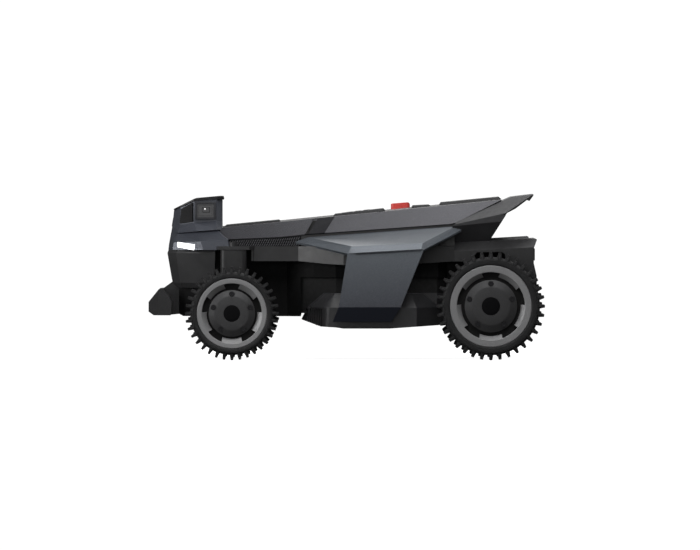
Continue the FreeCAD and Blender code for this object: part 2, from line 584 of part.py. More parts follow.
def tri(a, b, c):
    return Part.Face(Part.makePolygon([V(*a), V(*b), V(*c), V(*a)]))


def sheet_solid(facets, deep):
    """Panel of constant depth: outer facets, the same facets moved in by deep, and a rim."""
    verts = {}
    faces = []
    edges = {}
    def key(q):
        return tuple(round(c, 4) for c in q)
    tris = []
    for f in facets:
        a, b, c, d = f
        tris.append((a, b, c))
        if key(c) != key(d):
            tris.append((a, c, d))
    for t in tris:
        outer = [V(*q) for q in t]
        inner = [V(*q) + V(*deep(q)) for q in t]
        if (outer[1] - outer[0]).cross(outer[2] - outer[0]).Length < 1e-6:
            continue
        faces.append(Part.Face(Part.makePolygon(outer + [outer[0]])))
        faces.append(Part.Face(Part.makePolygon(inner + [inner[0]])))
        for i in range(3):
            k = frozenset((key(t[i]), key(t[(i + 1) % 3])))
            edges.setdefault(k, []).append((t[i], t[(i + 1) % 3]))
    for k, lst in edges.items():
        if len(lst) == 1:
            a, b = lst[0]
            ai, bi = V(*a) + V(*deep(a)), V(*b) + V(*deep(b))
            faces += quad(V(*a), V(*b), bi, ai)
    shell = Part.makeShell(faces)
    shell.sewShape()
    solid = Part.makeSolid(shell)
    if solid.Volume < 0:
        solid.reverse()
    return solid


def flank_deep(q):
    # top facets thicken downwards, side facets inwards
    if key3(q) in (key3(F_in_front), key3(F_in_rear)):
        return (0, 0, -3.6)
    if key3(q) in (key3(F_tip), key3(F_rtip)):
        return (0, -1.0, -3.4)
    if q[2] > 190:
        return (0, -3.6, -3.4)
    return (0, -3.8, 0)


def key3(q):
    return tuple(round(c, 3) for c in q)


flank = sheet_solid(flank_facets, flank_deep)
# two brackets that hold the panel off the waist
flank = flank.fuse(box(-118, -106, 211.5, 223.5, 186, 200)).fuse(box(-40, -28, 211.5, 223.5, 186, 196))
flank = clean(flank.cut(mid).cut(side).cut(sp).cut(rear), 2000)

feature("chassis_tub", tub)
feature("waist_shell", mid)
feature("nose_shell", nose)
feature("head_shell", head)
feature("head_roof", roof)
feature("camera_windows", window)
feature("camera_housings", camera_housings)
feature("camera_lenses", lenses)
feature("headlight_lenses", headlights)
feature("left_side_panel", side)
feature("right_side_panel", mirrored(side))
feature("top_cover", cover)
feature("control_pane", pane)
feature("rear_shell", rear)
feature("charging_contacts", contacts)
feature("spoiler", sp)
feature("left_flank_panel", flank)
feature("right_flank_panel", mirrored(flank))


# ---------------------------------------------------------------- wheels
def lug_outline(rad, root, n=36, k=1.0):
    pts = []
    b, t = p("lug_base") * k / 2, p("lug_tip") * k / 2
    for i in range(n):
        a = 2 * math.pi * i / n
        ca, sa = math.cos(a), math.sin(a)
        for rr, w in ((root, -b), (rad, -t), (rad, t), (root, b)):
            pts.append((rr * ca - w * sa, rr * sa + w * ca))
    return pts


# Each wheel is drawn with its axis along local Z: the outer face is at Z 0 and the
# wheel runs towards -Z. The placement turns local Z outwards.
def wheel_place(ax, az, face_y, side_sign):
    if side_sign > 0:
        rot = FreeCAD.Rotation(V(-1, 0, 0), V(0, 0, 1), V(0, 1, 0), "XYZ")
    else:
        rot = FreeCAD.Rotation(V(1, 0, 0), V(0, 0, 1), V(0, -1, 0), "XYZ")
    return FreeCAD.Placement(V(ax, side_sign * face_y, az), rot)


def make_wheel(tag, pre, sgn):
    R, Wd, S = p(pre + "_tyre_rad"), p(pre + "_tyre_w"), p(pre + "_side_rad")
    rim_r, ring_r, bev_r = p(pre + "_rim_rad"), p(pre + "_ring_rad"), p(pre + "_bevel_rad")
    cap_r, flat_r, badge_r, pcr = p(pre + "_cap_rad"), p(pre + "_flat_rad"), p(pre + "_badge_rad"), p(pre + "_screw_pcr")
    place = wheel_place(p(pre + "_axle_x"), p(pre + "_axle_z"), p(pre + "_face_y"), sgn)

    # tyre: carcass of revolution with a ring of 36 lugs
    b = doc.addObject("PartDesign::Body", tag + "_tyre")
    sk = xy_sketch(b, tag + "_tyre_section", "XZ_Plane")
    c = S + 2.0
    loop(sk, [(rim_r, -1.6), (rim_r + 2.5, -0.2), (S - 4.0, 0.0), (S, -2.6), (c, -9.0), (c, -(Wd - 9.0)), (S, -(Wd - 2.6)),
              (S - 4.0, -Wd), (rim_r + 2.5, -(Wd - 0.2)), (rim_r, -(Wd - 1.6))])
    revolve(b, sk, tag + "_carcass")
    sk = xy_sketch(b, tag + "_lug_outline", "XY_Plane", -3.2)
    loop(sk, lug_outline(R, S - 1.5, k=R / 95.0))
    ring(sk, 0, 0, S - 6.0)
    f = pad(b, sk, Wd - 6.4, "Params.%s_tyre_w - 6.4" % pre, tag + "_lugs", reverse=True)
    doc.recompute()
    b.Placement = place
    node(b, tag + "_tyre")

    # rim: flat outer ring, sloping bevel with five notches, web and barrel
    b = doc.addObject("PartDesign::Body", tag + "_rim")
    sk = xy_sketch(b, tag + "_rim_section", "XZ_Plane")
    loop(sk, [(rim_r, -2.2), (rim_r - 1.2, -1.2), (ring_r, -1.6), (ring_r - 0.6, -2.2), (bev_r, -10.5), (bev_r, -13.2),
              (p("axle_rad") + p("axle_fit"), -13.2), (p("axle_rad") + p("axle_fit"), -17.0), (rim_r - 4.5, -17.0),
              (rim_r - 4.5, -(Wd - 3.0)), (rim_r, -(Wd - 3.0))])
    revolve(b, sk, tag + "_rim_turned")
    doc.recompute()
    sk = xy_sketch(b, tag + "_notches", "XY_Plane", 1.0)
    for i in range(5):
        a0 = math.radians(90 + 72 * i)
        hw = math.radians(16.0)
        outer = ring_r - 0.8
        inner = bev_r - 2.5
        pts = []
        for j in range(7):
            a = a0 - hw + 2 * hw * j / 6
            pts.append((outer * math.cos(a), outer * math.sin(a)))
        for j in range(7):
            a = a0 + hw * 0.86 - 2 * hw * 0.86 * j / 6
            pts.append((inner * math.cos(a), inner * math.sin(a)))
        loop(sk, pts)
    before = b.Shape.Volume
    pocket(b, sk, 14.2, tag + "_notch_cut")
    doc.recompute()
    if not b.Shape.Volume < before - 100:
        raise RuntimeError(tag + " rim notches cut nothing")
    b.Placement = place
    node(b, tag + "_rim")

    # hub cap: flat centre, sloping ring, badge recess and five counterbores
    b = doc.addObject("PartDesign::Body", tag + "_hub_cap")
    sk = xy_sketch(b, tag + "_cap_section", "XZ_Plane")
    loop(sk, [(0, -1.8), (badge_r, -1.8), (badge_r, -1.0), (flat_r, -1.0), (cap_r, -6.5), (cap_r, -13.2), (0, -13.2)])
    revolve(b, sk, tag + "_cap_turned")
    doc.recompute()
    sk = xy_sketch(b, tag + "_counterbores", "XY_Plane", 1.0)
    for i in range(5):
        a = math.radians(90 + 72 * i)
        ring(sk, pcr * math.cos(a), pcr * math.sin(a), 5.4)
    pocket(b, sk, 7.6, tag + "_counterbore_cut")
    doc.recompute()
    b.Placement = place
    node(b, tag + "_hub_cap")

    # five cap screws with hex sockets
    screws = []
    for i in range(5):
        a = math.radians(90 + 72 * i)
        x, y = pcr * math.cos(a), pcr * math.sin(a)
        head_s = Part.makeCylinder(4.6, 3.4, V(x, y, -6.6), V(0, 0, 1))
        hexa = Part.Face(Part.makePolygon([V(x + 2.3 * math.cos(math.radians(60 * q)), y + 2.3 * math.sin(math.radians(60 * q)), -5.2)
                                           for q in range(7)])).extrude(V(0, 0, 3))
        screws.append(head_s.cut(hexa))
    o = doc.addObject("Part::Feature", tag + "_hub_screws")
    o.Shape = Part.makeCompound(screws)
    o.Placement = place
    node(o, tag + "_hub_screws")


def make_motor(label, pre, sgn, y_mount):
    """Hub-motor stator on its axle: a plain turned body, wheel axis along local Z."""
    Wd, sr, ar = p(pre + "_tyre_w"), p(pre + "_stator_rad"), p("axle_rad")
    place = wheel_place(p(pre + "_axle_x"), p(pre + "_axle_z"), p(pre + "_face_y"), sgn)
    b = doc.addObject("PartDesign::Body", label)
    sk = xy_sketch(b, label + "_section", "XZ_Plane")
    d = p(pre + "_face_y") - y_mount
    loop(sk, [(0, -13.6), (ar, -13.6), (ar, -20.0), (sr - 3.0, -20.0), (sr, -23.0), (sr, -(Wd - 10.0)), (sr - 3.0, -(Wd - 7.0)),
              (16.0, -(Wd - 7.0)), (16.0, -d), (0, -d)])
    revolve(b, sk, label + "_turned")
    doc.recompute()
    b.Placement = place
    return b


for tag, pre, sgn in (("front_left", "front", 1), ("front_right", "front", -1), ("rear_left", "rear", 1), ("rear_right", "rear", -1)):
    make_wheel(tag, pre, sgn)

node(make_motor("front_left_motor", "front", 1, KY + p("column_wid") / 2), "front_left_motor")
node(make_motor("front_right_motor", "front", -1, KY + p("column_wid") / 2), "front_right_motor")
rl = make_motor("rear_left_motor_body", "rear", 1, 150.0)
rr = make_motor("rear_right_motor_body", "rear", -1, 150.0)
pair = doc.addObject("Part::Compound", "rear_motors")
pair.Links = [rl, rr]
node(pair, "rear_motors")


# ---------------------------------------------------------------- steering columns
def make_column(tag, sgn):
    b = doc.addObject("PartDesign::Body", tag + "_steering_column")
    sk = xy_sketch(b, tag + "_column_outline")
    L2, W2 = p("column_len") / 2, p("column_wid") / 2
    loop(sk, [(-L2, -W2), (L2, -W2), (L2, W2), (-L2, W2)])
    pad(b, sk, p("column_top") - p("column_bottom"), "Params.column_top - Params.column_bottom", tag + "_column_pad")
    doc.recompute()
    block = b.Tip
    fil = b.newObject("PartDesign::Fillet", tag + "_column_corners")
    edges = ["Edge%d" % (i + 1) for i, e in enumerate(block.Shape.Edges)
             if abs(e.Vertexes[0].X - e.Vertexes[1].X) < 1e-6 and abs(e.Vertexes[0].Y - e.Vertexes[1].Y) < 1e-6]
    fil.Base = (block, edges)
    fil.Radius = p("column_fillet")
    fil.setExpression("Radius", "Params.column_fillet")
    doc.recompute()
    # bay for the steering gear motor, open below
    sk = xy_sketch(b, tag + "_motor_bay", "XY_Plane", -1.0)
    ring(sk, 0, 0, 17.0)
    pocket(b, sk, p("column_top") - p("column_bottom") - 6.0 + 1.0, tag + "_bay_cut", reverse=True)
    doc.recompute()
    # kingpin on top
    sk = xy_sketch(b, tag + "_kingpin_circle", "XY_Plane", p("column_top") - p("column_bottom") - 1.0)
    ring(sk, 0, 0, p("king_rad"), "Params.king_rad")
    pad(b, sk, 16.0, None, tag + "_kingpin")
    doc.recompute()
    b.Placement = FreeCAD.Placement(V(KX, sgn * KY, p("column_bottom")), FreeCAD.Rotation())
    node(b, tag + "_steering_column")
    m = doc.addObject("Part::Cylinder", tag + "_steering_motor")
    m.Radius = 16.6
    m.Height = 96.0
    m.Placement = FreeCAD.Placement(V(KX, sgn * KY, p("column_bottom") + 39.0), FreeCAD.Rotation())
    node(m, tag + "_steering_motor")


make_column("left", 1)
make_column("right", -1)

# ---------------------------------------------------------------- bumper
b = doc.addObject("PartDesign::Body", "front_bumper")
sk = xy_sketch(b, "bumper_section", "XZ_Plane")
loop(sk, [(348.1, 130.1), (341.0, 130.8), (329.0, 118.0), (323.8, 106.0), (324.6, 84.5), (326.0, 82.0), (357.5, 82.0), (367.0, 88.6),
          (367.0, 106.6)])
f = pad(b, sk, 2 * p("bumper_half_width"), "2 * Params.bumper_half_width", "bumper_bar", mid=True)
doc.recompute()
# ends swept back on the front and chamfered on top
sk = xy_sketch(b, "bumper_ends", "XY_Plane", 60.0)
Bw = p("bumper_half_width")
for s in (1, -1):
    loop(sk, [(380, s * (Bw - 46)), (380, s * (Bw + 20)), (340, s * (Bw + 20)), (346, s * (Bw + 1)), (350, s * (Bw - 4)), (367.2, s * (Bw - 34))])
pocket(b, sk, 90.0, "bumper_end_cut", reverse=True)
doc.recompute()
# recess behind the bar for the nose of the tub
sk = xy_sketch(b, "bumper_recess", "XY_Plane", 60.0)
loop(sk, [(300, -82), (335.5, -82), (335.5, 82), (300, 82)])
pocket(b, sk, 90.0, "bumper_recess_cut", reverse=True)
doc.recompute()
# two arms that slide in the tub
sk = xy_sketch(b, "bumper_arm_section", "XZ_Plane", -74.0)
ARM = [(350.0, 127.0), (341.0, 130.9), (323.5, 143.6), (309.5, 146.0), (309.5, 84.0), (325.0, 82.5), (348.0, 84.0)]
loop(sk, ARM)
pad(b, sk, 16.0, None, "bumper_arm_left")
sk = xy_sketch(b, "bumper_arm_section_r", "XZ_Plane", 58.0)
loop(sk, ARM)
pad(b, sk, 16.0, None, "bumper_arm_right")
doc.recompute()
node(b, "front_bumper")

# ---------------------------------------------------------------- cutting deck
DX, DY = p("disc_x"), p("disc_y")
DECK_HALF = [(84, 62), (81, 108), (43.8, 201.4), (39.6, 208.6), (33.4, 213.6), (25.6, 216), (-130, 216), (-182, 150)]
DECK = both(DECK_HALF)
deck = prism_z(DECK, p("deck_rim_z"), p("deck_step_z"))
sharp = inset(both([(84, 62), (81, 108), (38, 216), (-130, 216), (-182, 150)]), p("deck_bevel"))[:5]
px_, py_ = sharp[2]
u1 = (-43 / math.hypot(43, 108), 108 / math.hypot(43, 108))
bend = []
for t in (0.0, 1 / 3.0, 2 / 3.0, 1.0):
    k0, k1 = -2.6 * (1 - t) ** 2, 2.6 * t ** 2
    bend.append((px_ + k0 * u1[0] - k1, py_ + k0 * u1[1]))
DECK_TOP = both(sharp[:2] + bend + sharp[3:])
deck = deck.fuse(skin([at_z(DECK, p("deck_step_z")), at_z(DECK_TOP, p("deck_top_z"))]))
# raked front, and an underside that lifts towards both ends
deck = deck.cut(prism_y([(85, 73.6), (83.6, 73.6), (70, 99), (42, 123.2), (42, 140), (120, 140), (120, 73.6)], -230, 230))
deck = deck.cut(prism_y([(85, 74.6), (47.6, 61.8), (14, 60), (14, 40), (120, 40), (120, 74.6)], -230, 230))
deck = deck.cut(prism_y([(-100, 60), (-141, 62.3), (-184, 64.8), (-184, 40), (-100, 40)], -230, 230))
# skid keel under the rim on each side
for s in (1, -1):
    deck = deck.fuse(prism_y([(25, 61), (5, 58.2), (-80, 58.2), (-120, 61)], min(s * 207, s * 215), max(s * 207, s * 215)))
for s in (1, -1):
    deck = deck.cut(cyl(DX, s * DY, 50, p("deck_ceiling"), 105.0))
    deck = deck.cut(cyl(DX, s * DY, 50, p("deck_top_z") - 2.5, p("blade_motor_rad") + 1.0))
# lightening bays in the middle of the deck, open below
deck = deck.cut(prism_z(both([(76, 50), (62, 50), (62, 12)]), 50, 116))
deck = deck.cut(prism_z(both([(-154, 134), (-177, 134), (-177, 22), (-154, 22)])[:4], 50, 110))
deck = deck.cut(prism_z([(x, -y) for x, y in [(-154, 134), (-177, 134), (-177, 22), (-154, 22)]], 50, 110))
# side curtains that slide in the channels of the tub and close the gap above the deck
curtain = prism_z(inset(TUB_PLAN, 4.2), 86, 156).cut(prism_z(inset(TUB_PLAN, 6.6), 80, 160))
curtain = curtain.common(box(-185, 90.2, -200, 200, 80, 160)).cut(box(-190, 62, -200, 200, 80, 102))
deck = deck.fuse(curtain)
for x in (p("rod_front_x"), p("rod_rear_x")):
    deck = deck.cut(cyl(x, 0, 50, 130, p("rod_rad") + 0.3))
deck = deck.cut(cyl(p("screw_x"), 0, 50, 130, p("screw_rad") + 0.3))
# comb of slots through the front corners, where grass comes in
for s in (1, -1):
    ax, ay, bx, by = 81.0, 108.0, 38.0, 216.0
    L = math.hypot(bx - ax, by - ay)
    tx, ty = (bx - ax) / L, (by - ay) / L
    n = 9
    for i in range(n):
        d = (i + 0.5) * (L - 17.0) / n
        cx, cy = ax + tx * d, ay + ty * d
        blk = Part.makeBox(20, 6.0, 38.5, V(-15, -3.0, 0))
        blk.Placement = FreeCAD.Placement(V(cx, s * cy, 56), FreeCAD.Rotation(V(0, 0, 1), math.degrees(math.atan2(s * (-tx), ty))))
        deck = deck.cut(blk)
    for i in range(7):
        deck = deck.cut(box(66, 90, s * (i * 8 + 5.0) - 2.3, s * (i * 8 + 5.0) + 2.3, 56, 86))
deck = clean(deck)
feature("cutting_deck", deck)

motors = []
for s in (1, -1):
    m = cyl(DX, s * DY, p("deck_ceiling"), p("deck_top_z") - 2.6, p("blade_motor_rad")).fuse(
        cyl(DX, s * DY, p("disc_z") + p("disc_thick") + 6.2, p("deck_ceiling"), 12.0))
    m = m.fuse(cyl(DX, s * DY, p("disc_z") - 3.0, p("deck_ceiling"), 5.0))
    motors.append(m)
feature("blade_motors", Part.makeCompound(motors))


# ---------------------------------------------------------------- blade discs and blades
def make_disc(label, sgn):
    b = doc.addObject("PartDesign::Body", label)
    sk = xy_sketch(b, label + "_outline")
    ring(sk, 0, 0, p("disc_rad"), "Params.disc_rad")
    ring(sk, 0, 0, 5.05)
    pad(b, sk, p("disc_thick"), "Params.disc_thick", label + "_plate")
    doc.recompute()
    sk = xy_sketch(b, label + "_boss_circle", "XY_Plane", p("disc_thick") - 0.5)
    ring(sk, 0, 0, 20.0)
    ring(sk, 0, 0, 5.05)
    pad(b, sk, 6.0, None, label + "_boss")
    doc.recompute()
    sk = xy_sketch(b, label + "_hub_circle", "XY_Plane", -6.0)
    ring(sk, 0, 0, 22.0)
    pad(b, sk, 2.4, None, label + "_nose")
    sk = xy_sketch(b, label + "_nose_wall", "XY_Plane", -4.0)
    ring(sk, 0, 0, 22.0)
    ring(sk, 0, 0, 14.0)
    pad(b, sk, 4.5, None, label + "_nose_ring")
    doc.recompute()
    # three pins under the disc, each with a head that keeps its blade on
    sk = xy_sketch(b, label + "_pins", "XY_Plane", -4.6)
    for i in range(3):
        a = math.radians(120 * i + 30)
        ring(sk, p("pivot_rad") * math.cos(a), p("pivot_rad") * math.sin(a), p("pin_rad"), "Params.pin_rad")
    pad(b, sk, 5.0, None, label + "_pin_pad")
    sk = xy_sketch(b, label + "_heads", "XY_Plane", -6.2)
    for i in range(3):
        a = math.radians(120 * i + 30)
        ring(sk, p("pivot_rad") * math.cos(a), p("pivot_rad") * math.sin(a), 4.6)
    pad(b, sk, 2.0, None, label + "_head_pad")
    doc.recompute()
    # six slots that let grass fall through
    sk = xy_sketch(b, label + "_slots", "XY_Plane", -1.0)
    for i in range(6):
        a = math.radians(60 * i)
        ring(sk, 46 * math.cos(a), 46 * math.sin(a), 7.0)
    pocket(b, sk, 6.0, label + "_slot_cut", reverse=True)
    doc.recompute()
    b.Placement = FreeCAD.Placement(V(DX, sgn * DY, p("disc_z")), FreeCAD.Rotation())
    node(b, label)


def make_blade(label, sgn, i):
    b = doc.addObject("PartDesign::Body", label)
    sk = xy_sketch(b, label + "_outline")
    w, Lb = p("blade_wid") / 2, p("blade_len")
    loop(sk, [(-5.5, -w + 3), (-2.5, -w), (Lb - 6.0 - 2, -w), (Lb - 6.0, -w + 2), (Lb - 6.0, w - 2), (Lb - 6.0 - 2, w), (-2.5, w), (-5.5, w - 3)])
    ring(sk, 0, 0, p("pin_rad") + 0.4)
    pad(b, sk, p("blade_thick"), "Params.blade_thick", label + "_plate")
    doc.recompute()
    a = math.radians(120 * i + 30)
    b.Placement = FreeCAD.Placement(V(DX + p("pivot_rad") * math.cos(a), sgn * DY + p("pivot_rad") * math.sin(a), p("blade_z") - 1.2),
                                    FreeCAD.Rotation(V(0, 0, 1), 120 * i + 30))
    node(b, label)


for tag, sgn in (("left", 1), ("right", -1)):
    make_disc(tag + "_blade_disc", sgn)
    for i in range(3):
        make_blade("%s_blade_%d" % (tag, i + 1), sgn, i)

# ---------------------------------------------------------------- deck lift
rods = []
for k, x in enumerate(("rod_front_x", "rod_rear_x")):
    c = doc.addObject("Part::Cylinder", "guide_rod_%d" % (k + 1))
    c.setExpression("Radius", "Params.rod_rad")
    c.setExpression("Height", "Params.well_ceiling - 62")
    c.Placement = FreeCAD.Placement(V(p(x), 0, 62), FreeCAD.Rotation())
    rods.append(c)
g = doc.addObject("Part::Compound", "guide_rods")
g.Links = rods
node(g, "guide_rods")

c1 = doc.addObject("Part::Cylinder", "lift_screw_rod")
c1.setExpression("Radius", "Params.screw_rad")
c1.Height = 102.0
c1.Placement = FreeCAD.Placement(V(p("screw_x"), 0, 62), FreeCAD.Rotation())
c2 = doc.addObject("Part::Cylinder", "lift_screw_collar")
c2.Radius = 9.0
c2.Height = 5.0
c2.Placement = FreeCAD.Placement(V(p("screw_x"), 0, 156), FreeCAD.Rotation())
fz = doc.addObject("Part::Fuse", "lift_screw")
fz.Base, fz.Tool = c1, c2
node(fz, "lift_screw")
m1 = doc.addObject("Part::Cylinder", "lift_motor_can")
m1.Radius = 16.0
m1.Height = 36.0
m1.Placement = FreeCAD.Placement(V(p("screw_x"), 0, 164.4), FreeCAD.Rotation())
m2 = doc.addObject("Part::Box", "lift_motor_flange")
m2.Length, m2.Width, m2.Height = 40.0, 60.0, 3.0
m2.Placement = FreeCAD.Placement(V(p("screw_x") - 20, -30, 164.4), FreeCAD.Rotation())
m3 = doc.addObject("Part::Cylinder", "lift_motor_post_l")
m3.Radius, m3.Height = 5.0, 10.4
m3.Placement = FreeCAD.Placement(V(p("screw_x"), 24, 155), FreeCAD.Rotation())
m4 = doc.addObject("Part::Cylinder", "lift_motor_post_r")
m4.Radius, m4.Height = 5.0, 10.4
m4.Placement = FreeCAD.Placement(V(p("screw_x"), -24, 155), FreeCAD.Rotation())
fm = doc.addObject("Part::MultiFuse", "lift_motor")
fm.Shapes = [m1, m2, m3, m4]
node(fm, "lift_motor")

# ---------------------------------------------------------------- stop button
b = doc.addObject("PartDesign::Body", "stop_button")
sk = xy_sketch(b, "stop_side", "XZ_Plane")
x0, x1 = -82.9, -82.9 - p("stop_len")
loop(sk, [(x0, 264.0), (x0, 286.8), (x0 - 1.6, 288.6), (x1 + 4.2, 291.0), (x1 + 1.6, 290.2), (x1, 287.4), (x1, 264.0)])
pad(b, sk, p("stop_wid"), "Params.stop_wid", "stop_pad", mid=True)
doc.recompute()
block = b.Tip
fl2 = b.newObject("PartDesign::Fillet", "stop_round")
es = ["Edge%d" % (i + 1) for i, e in enumerate(block.Shape.Edges)
      if abs(abs(e.Vertexes[0].Y) - p("stop_wid") / 2) < 1e-4 and abs(abs(e.Vertexes[1].Y) - p("stop_wid") / 2) < 1e-4
      and e.Vertexes[0].Y * e.Vertexes[1].Y > 0 and min(e.Vertexes[0].Z, e.Vertexes[1].Z) < 265
      and max(e.Vertexes[0].Z, e.Vertexes[1].Z) > 280]
fl2.Base = (block, es)
fl2.Radius = 5.0
doc.recompute()
node(b, "stop_button")

# ---------------------------------------------------------------- inside the body
b = doc.addObject("PartDesign::Body", "battery_pack")
sk = xy_sketch(b, "battery_outline")
loop(sk, [(-327, -p("battery_wid") / 2), (-327 + p("battery_len"), -p("battery_wid") / 2),
          (-327 + p("battery_len"), p("battery_wid") / 2), (-327, p("battery_wid") / 2)])
pad(b, sk, p("battery_high"), "Params.battery_high", "battery_case")
doc.recompute()
block = b.Tip
ch = b.newObject("PartDesign::Chamfer", "battery_edges")
ch.Base = (block, ["Edge%d" % (i + 1) for i, e in enumerate(block.Shape.Edges) if abs(e.Vertexes[0].Z - e.Vertexes[1].Z) > 1])
ch.Size = 6.0
doc.recompute()
b.Placement = FreeCAD.Placement(V(0, 0, 88.2), FreeCAD.Rotation())
node(b, "battery_pack")

b = doc.addObject("PartDesign::Body", "battery_cover")
sk = xy_sketch(b, "battery_cover_outline")
loop(sk, [(-326, -112), (-206, -112), (-206, 112), (-326, 112)])
pad(b, sk, 2.6, None, "battery_cover_plate")
doc.recompute()
sk = xy_sketch(b, "battery_cover_holes", "XY_Plane", -1.0)
for x in (-318, -214):
    for y in (-104, 104):
        ring(sk, x, y, 2.2)
pocket(b, sk, 6.0, "battery_cover_hole_cut", reverse=True)
doc.recompute()
b.Placement = FreeCAD.Placement(V(0, 0, 82.4), FreeCAD.Rotation())
node(b, "battery_cover")

o = doc.addObject("Part::Box", "main_board")
o.setExpression("Length", "Params.board_len")
o.setExpression("Width", "Params.board_wid")
o.setExpression("Height", "Params.board_thick")
o.Placement = FreeCAD.Placement(V(-110, -p("board_wid") / 2, 214.0), FreeCAD.Rotation())
chips = [o]
for k, (x, y, a, bb, hh) in enumerate([(-90, -40, 24, 24, 3), (-40, -10, 30, 30, 8), (10, 20, 18, 26, 12), (-100, 22, 40, 16, 9)]):
    q = doc.addObject("Part::Box", "board_part_%d" % k)
    q.Length, q.Width, q.Height = a, bb, hh
    q.Placement = FreeCAD.Placement(V(x, y, 214.0 + p("board_thick")), FreeCAD.Rotation())
    chips.append(q)
for k, (x, y) in enumerate([(-104, -49), (34, -49), (-104, 49), (34, 49)]):
    q = doc.addObject("Part::Cylinder", "board_post_%d" % k)
    q.Radius, q.Height = 4.0, 4.0
    q.Placement = FreeCAD.Placement(V(x, y, 210.0), FreeCAD.Rotation())
    chips.append(q)
mf = doc.addObject("Part::MultiFuse", "main_board_set")
mf.Shapes = chips
node(mf, "main_board")

# underside screws: identical pan heads, those of the battery cover and of the tub floor
sc = []
for x in (-318, -214):
    for y in (-104, 104):
        h = doc.addObject("Part::Cylinder", "screw_%d" % len(sc))
        h.Radius, h.Height = 4.0, 2.2
        h.Placement = FreeCAD.Placement(V(x, y, 80.2), FreeCAD.Rotation())
        sc.append(h)
for x in (285, 140):
    for y in (-60, 60):
        h = doc.addObject("Part::Cylinder", "screw_%d" % len(sc))
        h.Radius, h.Height = 4.0, 2.2
        h.Placement = FreeCAD.Placement(V(x, y, p("tub_floor") - 2.2), FreeCAD.Rotation())
        sc.append(h)
g = doc.addObject("Part::Compound", "chassis_screws")
g.Links = sc
node(g, "chassis_screws")

doc.recompute()

# ---------------------------------------------------------------- checks and export
bad = []
for o in doc.Objects:
    if any(st in ("Invalid", "Error") for st in o.State):
        bad.append(o.Name)
for label, o in NODES.items():
    sh = o.Shape
    if sh.isNull() or not sh.isValid() or not sh.Solids:
        bad.append(label + " (shape)")
    elif any(s.Volume <= 0 for s in sh.Solids):
        bad.append(label + " (volume)")
if bad:
    raise RuntimeError("failed: " + ", ".join(bad))
os.makedirs("parts", exist_ok=True)
for old in os.listdir("parts"):
    if old.endswith(".step") and old[:-5] not in NODES:
        os.remove(os.path.join("parts", old))
for label, o in NODES.items():
    o.Shape.exportStep(os.path.join("parts", label + ".step"))
print(len(NODES), "nodes")
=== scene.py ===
import bpy
import bmesh
import math
import random
from mathutils import Vector, Matrix


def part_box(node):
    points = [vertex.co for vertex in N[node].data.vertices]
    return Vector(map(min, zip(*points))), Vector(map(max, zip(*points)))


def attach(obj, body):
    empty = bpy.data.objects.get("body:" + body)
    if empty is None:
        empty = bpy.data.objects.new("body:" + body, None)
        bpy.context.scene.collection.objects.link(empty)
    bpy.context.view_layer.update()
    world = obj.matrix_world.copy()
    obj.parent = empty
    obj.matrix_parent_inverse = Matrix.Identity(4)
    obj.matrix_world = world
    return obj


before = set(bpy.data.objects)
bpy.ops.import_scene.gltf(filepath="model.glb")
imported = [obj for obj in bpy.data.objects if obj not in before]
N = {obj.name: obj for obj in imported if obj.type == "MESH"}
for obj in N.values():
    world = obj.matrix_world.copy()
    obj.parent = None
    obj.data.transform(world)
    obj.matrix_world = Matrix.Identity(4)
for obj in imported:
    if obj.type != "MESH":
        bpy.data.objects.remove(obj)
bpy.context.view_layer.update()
random.seed(7)
mm = 0.001
SIDES = (("left", 1), ("right", -1))
WHEELS = {"front_left": (0.2115, 0.0865, 0.250, 1, 0.0865), "front_right": (0.2115, 0.0865, 0.250, -1, 0.0865),
          "rear_left": (-0.267, 0.100, 0.255, 1, 0.100), "rear_right": (-0.267, 0.100, 0.255, -1, 0.100)}


# ------------------------------------------------------------------ materials
def lin(c):
    return c / 12.92 if c <= 0.04045 else ((c + 0.055) / 1.055) ** 2.4


def rgb(r, g, b):
    return (lin(r / 255), lin(g / 255), lin(b / 255), 1.0)


